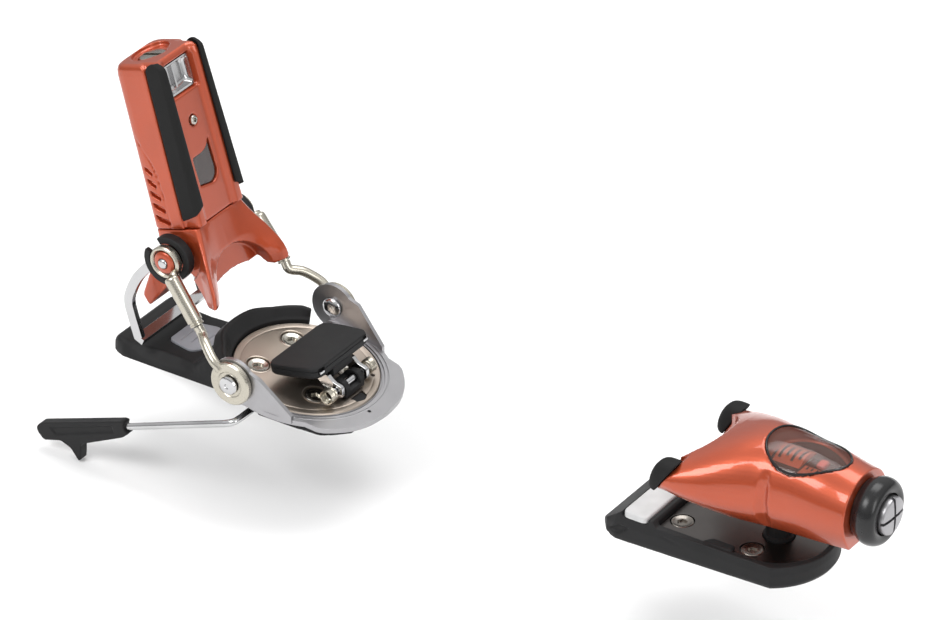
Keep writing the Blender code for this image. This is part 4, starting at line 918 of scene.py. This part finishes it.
def make_cup():
    """The heel cup: it flares down and forward to two teeth, hollowed in front for the boot's heel."""
    heights = [11.0, 10.4, 8.0, 5.0, 2.0, -1.0, -4.0, -7.0, -10.0, -13.0, -16.0, -19.0, -21.4, -23.4]
    item = solid("heel_cup_casting", loft([cup_section(t) for t in heights[::-1]]))
    arch = [(25.4 * cos(radians(a)), -31.0 + 14.4 * sin(radians(a))) for a in range(0, 181, 6)]
    carve(item, prism(arch + [(-25.4, -50), (25.4, -50)], -30, 40, "X"))
    scoop = [(20.5 * cos(radians(a)), -24.0 + 19.0 * sin(radians(a))) for a in range(0, 181, 6)]
    carve(item, prism(scoop + [(-20.5, -40), (20.5, -40)], 11.4, 40, "X"))
    under = [(-30.0, -8.5), (4.0, -10.0), (16.6, -24.8), (17.0, -50), (-30, -50)]
    carve(item, prism(under, -50, 50, "Y"))
    tail = rounded([(-8.0, 2.0), (-8.0, -7.8), (-17.0, -20.0), (-30.3, -29.8), (-32.4, -24.0), (-20.0, -6.0),
                    (-9.6, 4.0)], 1.6, 3)
    fuse(item, prism(tail, -13.9, 13.9, "Y"))
    # a ledge under the seam, so that the shell above stands proud of it
    tongue = [(-13.0, SEAM_T - 0.1), (-8.5, SEAM_T - 0.1), (-8.5, 10.0), (-13.0, 10.0)]
    carve(item, prism(tongue, 12.9, 20.0, "X"), prism([(-y, t) for y, t in tongue], 12.9, 20.0, "X"))
    carve(item, rod(3.3, -40, 40, axis="Y", sides=48))
    for sign in (1, -1):
        low, high = span(sign, TOWER_HALF_LOW + 0.4, 40.0)
        carve(item, rod(14.0, low, high, axis="Y", sides=96))
        low, high = span(sign, TOWER_HALF_LOW - 0.6, 40.0)
        seam = [(6.9, low), (7.5, low), (7.5, high), (6.9, high)]
        carve(item, turned(seam, axis="Y", sides=96, closed=True))
    soften(item, 0.45, 3, 0.45)
    finish_piece(item, ON_TOWER, "tower", ORANGE, ["heel_cup"])


def make_pivot_bosses():
    """Orange bosses that stand through the arms' eyes, one each side of the tower."""
    profile = [(2.7, 19.0), (5.6, 19.0), (5.6, 29.4), (5.2, 30.0), (4.2, 30.5), (2.7, 30.7)]
    item = solid("boss", turned(profile, axis="Y", sides=64, closed=True))
    pair(item, "pivot_boss", ON_TOWER, "tower", ORANGE)


def make_heel_setting():
    item = solid("heel_release_coil", coil((0, 0, 0), 5.1, 0.85, 13.4, 26.0, 4.5, "Z"))
    finish_piece(item, ON_TOWER, "tower", STEEL, ["heel_spring"])
    seat = 85.7
    rise = [(3.5, 26.6), (3.5, seat), (6.5, seat), (6.5, seat + 2.6), (6.2, seat + 3.2), (5.6, seat + 3.5)]
    item = solid("heel_setting_dial", turned([(0, 26.6)] + rise + [(0, seat + 3.5)], sides=64))
    carve(item, box((-5.2, -1.0, seat + 1.9), (5.2, 1.0, seat + 6)))
    bevel(item, 0.15, 2, 45)
    finish_piece(item, ON_TOWER, "heel_screw", SCREW, ["heel_setting_screw"])
    item = solid("heel_marker_nut", turned([(3.9, 31.5), (6.3, 31.5), (6.3, 37.5), (3.9, 37.5)], closed=True))
    bevel(item, 0.4)
    finish_piece(item, ON_TOWER, "heel_nut", RED, ["heel_indicator"])


# ---------------------------------------------------------------- heel: brake

def make_brake():
    drop = radians(20.6)
    down, across = Vector((-cos(drop), 0, -sin(drop))), Vector((sin(drop), 0, -cos(drop)))
    start = Vector((-5.2, 46.0, -1.95))
    stop = start + down * 57.0
    corner = curve_through([(0, 14.0, 0), (0, 34.0, 0), (-0.1, 41.6, 0), (-1.2, 44.8, -0.45),
                            tuple(start)], 8)
    item = solid("wire", tube(corner + [stop], 1.65, 24))
    pair(item, "brake_wire", ON_BRAKE, "brake_arms", STEEL, ["brake_arm"])

    tip = 54.0
    blade = [(0.0, -2.6), (2.0, -3.4), (tip - 3.0, -4.2), (tip, -2.4), (tip, 0.2), (tip - 2.0, 4.4),
             (tip - 12.0, 5.0), (tip - 16.6, 9.0), (tip - 18.6, 15.6), (tip - 20.0, 15.2),
             (tip - 23.6, 7.2), (4.0, 4.6), (0.0, 3.0), (1.6, 1.2), (1.6, -0.8)]
    spots = [stop + down * (GAP + a) + across * b for a, b in rounded(blade, 1.2, 3)]
    item = solid("claw", prism([(spot.x, spot.z) for spot in spots], 42.9, 48.1, "Y"))
    dent = ((8, -1.4), (tip - 8, -1.8), (tip - 10, 2.2), (8, 2.0))
    rib = [stop + down * (GAP + a) + across * b for a, b in dent]
    carve(item, prism([(spot.x, spot.z) for spot in rib], 47.5, 52.0, "Y"))
    soften(item, 0.4, 2, 0.5)
    pair(item, "brake_claw", ON_BRAKE, "brake_arms", BLACK, ["brake_foot"])

    def local(outline):
        return [(x - PEDAL.x, z - PEDAL.z) for x, z in outline]
    slope = radians(10.4)
    corner = local([(5.4, 22.5)])[0]

    def on_pad(a, y, b):
        return (corner[0] + a * cos(slope) - b * sin(slope), y, corner[1] + a * sin(slope) + b * cos(slope))

    def pad_box(rear, front, low, high):
        spots = (on_pad(a, 0, b) for a, b in ((rear, low), (front, low), (front, high), (rear, high)))
        return [(x, z) for x, _, z in spots]
    long, half, thick = 27.2, 22.0, 6.0
    mid = long / 2
    plan = rounded([(0.0, -half), (mid, -half), (long, -half + 1.5), (long, half - 1.5), (mid, half),
                    (0.0, half)], 5.0, 7)
    rings = []
    for b, inset in ((-thick, 1.4), (-thick + 0.6, 0.5), (-thick + 1.6, 0.0), (-2.5, 0.0), (-2.3, 0.35),
                     (-2.1, 0.35), (-1.9, 0.0), (-0.9, 0.0), (-0.25, 0.3), (0.0, 1.0)):
        shrink_a, shrink_y = 1 - inset / mid, 1 - inset / half
        rings.append([on_pad(mid + (a - mid) * shrink_a, y * shrink_y, b) for a, y in plan])
    item = solid("pedal_pad", loft(rings), 25)
    for sign in (1, -1):
        low, high = span(sign, 15.0, 19.0)
        carve(item, prism(pad_box(long - 1.8, long + 3, -3.9, -0.9), low, high, "Y"))
    tongue = local([(18.0, 21.0), (31.6, 22.4), (32.2, 17.2), (27.6, 13.8), (22.0, 15.6)])
    fuse(item, prism(rounded(tongue, 1.2, 3), -7.4, 7.4, "Y"))
    finish_piece(item, ON_PEDAL, "brake_pedal", BLACK, ["brake_pedal"])
    for side, sign in SIDES:
        low, high = span(sign, 15.4, 18.6)
        stud = prism(pad_box(long - 1.7, long + 0.1, -3.8, -2.7), low, high, "Y")
        item = bevel(solid(f"pedal_stud_{side}", stud), 0.25)
        finish_piece(item, ON_PEDAL, "brake_pedal", STEEL)

    lever = rounded(local([(30.5, 19.2), (33.8, 16.0), (38.6, 14.8), (39.2, 9.9), (36.0, 8.1), (32.2, 9.5),
                           (26.6, 14.2), (23.0, 17.6)]), 1.4, 4)
    item = solid("lever", prism(lever, 8.6, 10.8, "Y"))
    carve(item, rod(2.1, 0, 30, axis="Y", sides=32))
    bevel(item, 0.3, 2, 40)
    pair(item, "pedal_lever", ON_PEDAL, "brake_pedal", STEEL, ["brake_lever"])


def make_brake_mount():
    hinge = (PEDAL.x, 0, PEDAL.z)
    cheek = rounded([(28.0, table_height(28.0) + 0.6), (38.6, table_height(38.6) + 0.9), (38.8, 12.0),
                     (36.8, 14.9), (33.0, 15.1), (29.6, 13.2)], 1.0, 4)
    item = solid("brake_block", prism(cheek, -7.1, 7.1, "Y"))
    carve(item, rod(2.1, -30, 30, hinge, "Y", 32))
    channel = [(28.0, 12.6), (45.0, 8.6), (45.0, 20.0), (28.0, 20.0)]
    carve(item, prism(channel, -4.0, 4.0, "Y"))
    bevel(item, 0.5, 3, 40)
    finish_piece(item, WORLD, "root", BLACK, ["brake_mount"])
    pin = [(0, 12.6), (1.3, 12.6), (1.8, 12.1), (1.8, -12.1), (1.3, -12.6), (0, -12.6)]
    finish_piece(solid("brake_hinge_pin", turned(pin[::-1], hinge, "Y", 32)), WORLD, "root", STEEL,
                 ["brake_pin"])
    item = solid("return_coil", coil(hinge, 3.1, 0.5, 13.2, 18.2, 5, "Y"))
    pair(item, "brake_return_coil", WORLD, "root", NICKEL, ["brake_spring"])


# ---------------------------------------------------------------- toe

NOSE_X = 304.5
CAP_R = 15.6
TOE_TUCK = 0.30          # how far the housing's sides draw in towards its sole, of the half width
WINDOW_X = 276.0         # the toe window's middle
TOE_STATIONS = (        # x, half width, low, high, height of the widest point, squareness
    (221.0, 33.4, 31.0, 48.6, 41.0, 2.6), (229.0, 33.0, 29.4, 53.0, 40.5, 2.5),
    (239.0, 31.0, 27.0, 57.6, 40.0, 2.4), (250.0, 27.3, 25.2, 61.4, 39.5, 2.3),
    (261.0, 23.2, 24.2, 62.9, 39.5, 2.2), (274.0, 20.8, 24.0, 62.5, 39.8, 2.2),
    (289.0, 19.7, 24.2, 60.6, 40.2, 2.1), (NOSE_X, 18.2, 24.4, 57.4, 40.4, 2.05))


def toe_station(x):
    """The housing's section values at any x, by a smooth curve through the stations."""
    rows = [TOE_STATIONS[0]] + list(TOE_STATIONS) + [TOE_STATIONS[-1]]
    for a, b, c, d in zip(rows, rows[1:], rows[2:], rows[3:]):
        if x <= c[0] or c is TOE_STATIONS[-1]:
            t = (x - b[0]) / (c[0] - b[0])
            return [q + 0.5 * ((r - p) * t + (2 * p - 5 * q + 4 * r - s) * t * t +
                               (3 * q - p - 3 * r + s) * t ** 3)
                    for p, q, r, s in zip(a[1:], b[1:], c[1:], d[1:])]
    return list(TOE_STATIONS[-1][1:])


def toe_ring(x):
    """The housing's section: a squarish arch over a narrower, flat-bottomed sole."""
    half, low, high, waist, square = toe_station(x)
    top = []
    for k in range(33):
        a = pi * k / 32
        y = half * (abs(cos(a)) ** (2 / square)) * (1 if k < 16 else -1)
        top.append((x, 0.0 if k == 16 else y, waist + (high - waist) * sin(a) ** (2 / square)))
    side = []
    for k in range(1, 9):
        v = k / 8.0
        side.append((half * (1 - TOE_TUCK * v * v), waist + (low - waist) * v * 0.97))
    bottom = half * (1 - TOE_TUCK) - 1.0
    side += [(bottom, low), (0.5 * bottom, low)]
    return top + [(x, -y, z) for y, z in side] + [(x, y, z) for y, z in side[::-1]]


def toe_edge(x, z):
    """How far out the housing's side stands at a height."""
    half, low, high, waist, square = toe_station(x)
    if z < waist:
        v = min(1.0, (waist - z) / (waist - low))
        return half * (1 - TOE_TUCK * v * v)
    return half * max(0.0, 1 - ((z - waist) / (high - waist)) ** square) ** (1 / square)


def toe_top(x, y):
    half, _, high, waist, square = toe_station(x)
    return waist + (high - waist) * max(0.0, 1 - (abs(y) / half) ** square) ** (1 / square)


def window_outline(grow=0.0, count=64):
    points = []
    for k in range(count):
        a = 2 * pi * k / count
        taper = 1.0 - 0.24 * cos(a)
        points.append((276.8 + (19.4 + grow) * cos(a), (15.6 + grow) * sin(a) * taper))
    return points


def shifted(shape):
    points, faces = shape
    return [(x - TOE.x, y, z) for x, y, z in points], faces


def pad_cut(forward):
    """Side view of what the slanted rear end of each wing leaves to its pad."""
    return [(205.0, 31.0), (216.0 + forward, 31.0), (217.2 + forward, 34.0), (228.6 + forward, 51.0),
            (234.0 + forward, 62.0), (205.0, 62.0)]


def make_toe_housing():
    xs = [217.0 + 2.0 * k for k in range(44)]
    xs = [x for x in xs if x < NOSE_X - 0.4] + [NOSE_X]
    item = solid("toe_shell", shifted(loft([toe_ring(x) for x in xs])))
    mouth = [(209.5 + 26.5 * cos(radians(a)), 25.0 * sin(radians(a))) for a in range(-90, 91, 6)]
    carve(item, shifted(prism([(200, -25.0)] + mouth + [(200, 25.0)], 10, 80)))
    carve(item, shifted(rod(11.6, 274, 330, (0, 0, TOE_AXIS_Z), "X", 64)))
    # an upright crease on each side, where the wing meets the nose
    fade = [(20.0, 1.0), (28.0, 1.0), (34.0, 1.0), (40.0, 1.0), (46.0, 0.9), (50.0, 0.7), (53.5, 0.4),
            (56.0, 0.0)]
    for sign in (1, -1):
        groove = []
        for x, deep in ((261.6, -0.6), (265.0, 1.7), (266.4, 1.9), (269.4, -0.6)):
            groove.append([(x, sign * (toe_edge(x, z) - deep * f - 0.6 * (f - 1)), z) for z, f in fade]
                          + [(x, sign * 50.0, z) for z in (56.0, 20.0)])
        carve(item, shifted(loft(groove)))
    carve(item, shifted(prism(window_outline(GAP), 52.5, 90.0)))
    carve(item, shifted(box((276, -6.0, 44), (290, 6.0, 58))))
    carve(item, rod(6.3, 10, 30.3, sides=48))
    for sign in (1, -1):
        low, high = span(sign, 21.0, 40.0)
        carve(item, shifted(prism(pad_cut(0.0), low, high, "Y")))
    soften(item, 0.55, 3, 0.45)
    finish_piece(item, ON_TOE, "toe", ORANGE, ["toe_housing"])


def make_toe_pads():
    """Rounded rubber pads that wrap the wings' rear ends."""
    rings = []
    for k in range(15):
        a = pi * (k + 0.4) / 14.8
        z, swell = 41.9 - 7.9 * cos(a), sin(a) ** 0.40
        outline = []
        for m in range(32):
            b = 2 * pi * m / 32
            x = 219.8 + 0.3 * (z - 36.0) + 7.0 * swell * abs(cos(b)) ** 0.7 * (1 if cos(b) > 0 else -1)
            y = 27.9 + 5.9 * swell * abs(sin(b)) ** 0.7 * (1 if sin(b) > 0 else -1)
            outline.append((x - TOE.x, y, z))
        rings.append(outline)
    item = solid("pad", loft(rings))
    cut = pad_cut(-0.3)[1:-1]
    carve(item, shifted(prism(cut + [(250.0, 62.0), (250.0, 31.0)], 10, 50, "Y")))
    soften(item, 0.4, 3, 0.6)
    pair(item, "wing_pad", ON_TOE, "toe", RUBBER, ["toe_pad"])


def make_toe_window():
    """A clear lid that follows the housing's back, in a black rim, over the setting's scale."""
    outline = window_outline(0.0, 72)
    rows = (0.0, 0.35, 0.65, 0.85, 0.96, 1.0)
    points, faces = [], []
    for lift in (-0.35, -1.55):
        for r in rows:
            for x, y in outline if r else [(WINDOW_X, 0.0)]:
                px, py = WINDOW_X + (x - WINDOW_X) * r, y * r
                points.append((px, py, toe_top(px, py) + lift))
    count = len(outline)
    layer = 1 + count * (len(rows) - 1)
    for base in (0, layer):
        for i in range(count):
            j = (i + 1) % count
            faces.append((base, base + 1 + i, base + 1 + j))
            for r in range(len(rows) - 2):
                a, b = base + 1 + r * count, base + 1 + (r + 1) * count
                faces.append((a + i, b + i, b + j, a + j))
    rim = 1 + (len(rows) - 2) * count
    for i in range(count):
        j = (i + 1) % count
        faces.append((rim + i, rim + j, layer + rim + j, layer + rim + i))
    item = solid("toe_window_lid", shifted((points, faces)))
    finish_piece(item, ON_TOE, "toe", CLEAR, ["toe_window"])
    ring = [(x, y, toe_top(x, y) - 0.15) for x, y in window_outline(-0.1, 96)]
    item = solid("toe_window_rim", shifted(tube(ring + [ring[0]], 0.5, 10)))
    finish_piece(item, ON_TOE, "toe", GLOSS)


def make_toe_core():
    centre = (0, 0, TOE_AXIS_Z)
    nose = NOSE_X - TOE.x
    item = solid("toe_release_coil", coil(centre, 9.3, 1.4, nose - 28, nose - 8, 3.5, "X"))
    finish_piece(item, ON_TOE, "toe", STEEL, ["toe_spring"])
    face, inner = nose + 0.4, 9.3
    thick = 11.5
    torus = [(CAP_R - 3.6 + 3.6 * cos(radians(a)), face + 6.2 + 5.3 * sin(radians(a)))
             for a in range(-60, 91, 10)]
    profile = ([(inner, face + 5.0), (12.4, face), (CAP_R - 2.2, face)] + torus +
               [(inner + 1.6, face + thick), (inner + 0.5, face + thick - 0.4), (inner, face + thick - 1.2)])
    item = solid("toe_cap_ring", turned(profile, centre, "X", 96, closed=True))
    finish_piece(item, ON_TOE, "toe", GLOSS, ["toe_end_cap"])
    front = face + thick + 1.6
    profile = [(0, nose - 2), (7.5, nose - 2), (8.9, face + 5.6), (8.9, front - 0.2), (8.5, front + 0.7),
               (7.6, front + 1.1), (4.0, front + 1.5), (0, front + 1.6)]
    item = solid("toe_setting_dial", turned(profile, centre, "X", 64))
    for y, z in ((0.75, 10.0), (10.0, 0.75)):
        carve(item, box((front - 0.8, -y, TOE_AXIS_Z - z), (front + 4, y, TOE_AXIS_Z + z)))
    bevel(item, 0.2, 2, 40)
    finish_piece(item, ON_TOE, "toe_screw", SATIN, ["toe_setting_screw"])
    # the scale: a curved drum with plain bars and ticks
    tray = 52.8
    outline = [(WINDOW_X + (x - WINDOW_X) * 0.9, y * 0.9) for x, y in window_outline()]
    item = solid("toe_scale_tray", shifted(prism(outline, tray, tray + 0.5)))
    carve(item, shifted(box((276, -3.4, 50), (290, 3.4, 56))))
    finish_piece(item, ON_TOE, "toe", BLACK, ["toe_scale"])
    drum_z, drum_r = 47.6, 8.6
    drum = [(y, z) for y, z in arc((0.0, drum_z), drum_r, 20, 160, 20) if z >= tray + 0.55]
    drum += [(-7.6, tray + 0.6), (7.6, tray + 0.6)]
    item = solid("toe_scale_drum", shifted(prism(drum, 262.0, 275.4, "X")))
    finish_piece(item, ON_TOE, "toe", SCALE)
    for k in range(4):
        x = 263.4 + 3.1 * k
        end = 128 - 12 * (k % 2)
        bar = arc((0.0, drum_z), drum_r * 1.012, 44, end, 12)
        bar += arc((0.0, drum_z), drum_r * 1.012 * 0.985, end, 44, 12)
        item = solid(f"toe_scale_bar_{k}", shifted(prism(bar, x, x + 1.3, "X")))
        finish_piece(item, ON_TOE, "toe", BLACK)
    wing = [(277.0, -11.4), (291.0, -6.6), (291.0, -4.6), (277.0, -4.6)]
    item = solid("toe_scale_card", shifted(prism(wing, tray + 0.8, tray + 1.3)))
    finish_piece(item, ON_TOE, "toe", SCALE)
    for k in range(5):
        x = 278.6 + 2.4 * k
        item = solid(f"toe_scale_tick_{k}", shifted(box((x, -7.2, tray + 1.25), (x + 0.7, -5.2, tray + 1.5))))
        finish_piece(item, ON_TOE, "toe", BLACK)
    item = solid("toe_marker_bead", shifted(box((281.0, -2.6, tray), (285.0, 2.6, tray + 2.4))))
    bevel(item, 0.7, 3)
    finish_piece(item, ON_TOE, "toe_marker", RED, ["toe_indicator"])


def make_toe_base():
    """The black sole under the toe unit, with the tray that holds the steel plate."""
    rear, front, half, nose_r = 187.0, 288.5, 28.6, 32.0
    plate_z = 11.0

    def sole(inset, under=0.0):
        nose = arc((front - nose_r, 0), nose_r - inset - under, -57, 57, 28)
        return ([(rear + inset, -half + 5.0), (rear + 3 + 0.6 * inset, -half + 1.6 + inset),
                 (rear + 8 + inset, -half + inset)] + nose +
                [(rear + 8 + inset, half - inset), (rear + 3 + 0.6 * inset, half - 1.6 - inset),
                 (rear + inset, half - 5.0)])
    levels = ((0.0, 0.8, 2.2), (1.2, 0.1, 1.0), (3.0, 0.0, 0.0), (8.0, 0.2, 0.0), (14.6, 1.3, 0.0))
    item = solid("toe_base_moulding", loft([[(x, y, z) for x, y in sole(inset, under)]
                                            for z, inset, under in levels]))
    over_ramp = [(rear - 2, 5.0), (rear + 11.0, 14.6), (rear + 11.0, 20), (rear - 2, 20)]
    carve(item, prism(over_ramp, -40, 40, "Y"),
          prism([(rear - 2, -1), (rear + 9, -1), (rear - 2, 5.0)], -40, 40, "Y"))
    tray = ([(214.6, -23.6), (front - 23.0, -23.6)] + arc((front - 27.0, 0), 23.8, -78, 78, 24) +
            [(front - 23.0, 23.6), (214.6, 23.6)])
    carve(item, prism(tray, plate_z - 1.9, 20))
    over = [(216.0, 12.2), (295.0, 11.6), (295.0, 20.0), (214.6, 20.0), (213.6, 14.6)]
    carve(item, prism(over, -40, 40, "Y"))
    carve(item, box((198.2, -30, 12.2), (211.6, 30, 20)))
    for sign in (1, -1):
        flank = [(213.0, sign * 28.0, 9.6), (252.0, sign * 28.6, 3.4), (246.0, sign * 28.6, 9.6)]
        carve(item, loft([[(x, y - sign * 0.7, z) for x, y, z in flank],
                          [(x, y + sign * 3, z) for x, y, z in flank]]))
        low, high = span(sign, 27.2, 40.0)
        carve(item, prism([(190.5, 4.6), (198.0, 8.4), (203.0, 7.8), (197.0, 3.4)], low, high, "Y"))
    tab = rounded([(238.0, -24.4), (252.4, -24.4), (252.4, -20.4), (241.0, -20.4)], 0.6, 3)
    fuse(item, prism(tab, 8.0, 12.6))
    soften(item, 0.5, 2, 0.45)
    finish_piece(item, WORLD, "root", BLACK, ["toe_base"])

    inner = 23.2
    outline = ([(215.0, -inner), (front - 23.0, -inner)] + arc((front - 27.0, 0), inner + 0.2, -78, 78, 32) +
               [(front - 23.0, inner), (215.0, inner)])
    item = solid("toe_plate_steel", prism(outline, plate_z - 1.6, plate_z))
    for _, x, y in TOE_SCREWS:
        for sign in (1, -1):
            seat = [(0, 9.0), (3.4, 9.0), (SCREW_HEAD_R + 0.4, 9.85), (SCREW_HEAD_R + 0.5, 13.0), (0, 13.0)]
            carve(item, turned(seat, (x, y * sign, 0), sides=64))
    carve(item, rod(7.4, 5, 15, (TOE.x, 0, 0), sides=64))
    bevel(item, 0.25, 2, 40)
    finish_piece(item, WORLD, "root", GUNMETAL, ["toe_plate"])
    for row, x, y in TOE_SCREWS:
        for side, sign in SIDES:
            spot = Matrix.Translation(Vector((x, y * sign, plate_z - 0.1)) * MM)
            screw_head(f"toe_screw_head_{row}_{side}", 1.5, DARK_STEEL, spot, "root",
                       f"toe_screw_{row}_{side}")

    low, high, half_y = 198.6, 211.2, 27.4
    pad = rounded([(low, -half_y), (high, -half_y), (high, half_y), (low, half_y)], 3.4, 6)
    mid = 0.5 * (low + high)
    rings = []
    for z, inset in ((12.5, 0.0), (14.4, 0.0), (15.0, 0.15), (15.4, 0.5), (15.6, 1.1)):
        rings.append([(mid + (x - mid) * (1 - inset / 6.3), y * (1 - inset / half_y), z) for x, y in pad])
    finish_piece(solid("afd_pad", loft(rings), 50), WORLD, "afd", WHITE, ["afd_slider"])


def cover_the_rest():
    """CAD nodes that keep their own mesh get their finish here."""
    looks = {"toe_tie_rod": STEEL, "toe_pivot_post": BLACK}
    for node, mat in looks.items():
        mesh = NODES[node].data
        mesh.materials.clear()
        mesh.materials.append(mat)


# ---------------------------------------------------------------- studio

def make_stage():
    low, high = CAD_BOX
    size = 6.0
    middle = (Vector(low) + Vector(high)) / 2
    mesh = bpy.data.meshes.new("floor")
    z = low[2] - 0.0004
    mesh.from_pydata([(middle.x - size, middle.y - size, z), (middle.x + size, middle.y - size, z),
                      (middle.x + size, middle.y + size, z), (middle.x - size, middle.y + size, z)],
                     [], [(0, 1, 2, 3)])
    floor = bpy.data.objects.new("floor", mesh)
    bpy.context.scene.collection.objects.link(floor)
    mat, _ = new_material("floor_pale", (0.90, 0.90, 0.90), 0.9, spec=0.1)
    mesh.materials.append(mat)

    def lamp(name, spot, aim, width, power, color=(1, 1, 1)):
        light = bpy.data.lights.new(name, "AREA")
        light.shape = "RECTANGLE"
        light.size, light.size_y = width
        light.energy = power
        light.color = color
        item = bpy.data.objects.new(name, light)
        item.location = spot
        item.rotation_euler = (Vector(aim) - Vector(spot)).to_track_quat("-Z", "Y").to_euler()
        bpy.context.scene.collection.objects.link(item)
    aim = (0.10, 0.0, 0.05)
    lamp("key", (-0.35, -1.1, 1.25), aim, (0.9, 0.6), 13)
    lamp("side", (1.5, -0.5, 0.7), aim, (0.5, 0.9), 6)
    lamp("top", (0.1, 0.5, 1.5), aim, (1.2, 0.8), 12)

    world = bpy.data.worlds.new("studio")
    bpy.context.scene.world = world
    world.use_nodes = True
    nodes, links = world.node_tree.nodes, world.node_tree.links
    where = nodes.new("ShaderNodeTexCoord")
    split = nodes.new("ShaderNodeSeparateXYZ")
    fade = nodes.new("ShaderNodeValToRGB")
    fade.color_ramp.elements[0].position = 0.02
    fade.color_ramp.elements[0].color = (0.30, 0.30, 0.31, 1)
    fade.color_ramp.elements[1].position = 0.55
    fade.color_ramp.elements[1].color = (1.0, 1.0, 1.0, 1)
    links.new(where.outputs["Generated"], split.inputs[0])
    links.new(split.outputs["Z"], fade.inputs["Fac"])
    links.new(fade.outputs["Color"], nodes["Background"].inputs["Color"])
    nodes["Background"].inputs["Strength"].default_value = 0.85


def make_camera():
    """A long lens, looking down at 31 degrees from 34 degrees round the right side."""
    turn, rise, distance = radians(33.7), radians(31.0), 3.2
    target = Vector((0.0670, 0.0539, 0.0328))
    back = Vector((sin(turn) * cos(rise), -cos(turn) * cos(rise), sin(rise)))
    camera = bpy.data.objects.new("camera", bpy.data.cameras.new("camera"))
    camera.data.sensor_width = 36.0
    camera.data.lens = 269.0
    camera.data.clip_end = 50.0
    camera.location = target + back * distance
    camera.rotation_euler = back.to_track_quat("Z", "Y").to_euler()
    bpy.context.scene.collection.objects.link(camera)
    bpy.context.scene.camera = camera


make_camera()
make_heel_base()
make_guard()
make_disc()
make_ring()
make_hinge_pins()
make_arms()
make_stirrup()
make_tower()
make_tower_trim()
make_cup()
make_pivot_bosses()
make_heel_setting()
make_brake()
make_brake_mount()
make_toe_housing()
make_toe_pads()
make_toe_window()
make_toe_core()
make_toe_base()
cover_the_rest()
make_stage()
bpy.context.scene.view_settings.view_transform = "Standard"
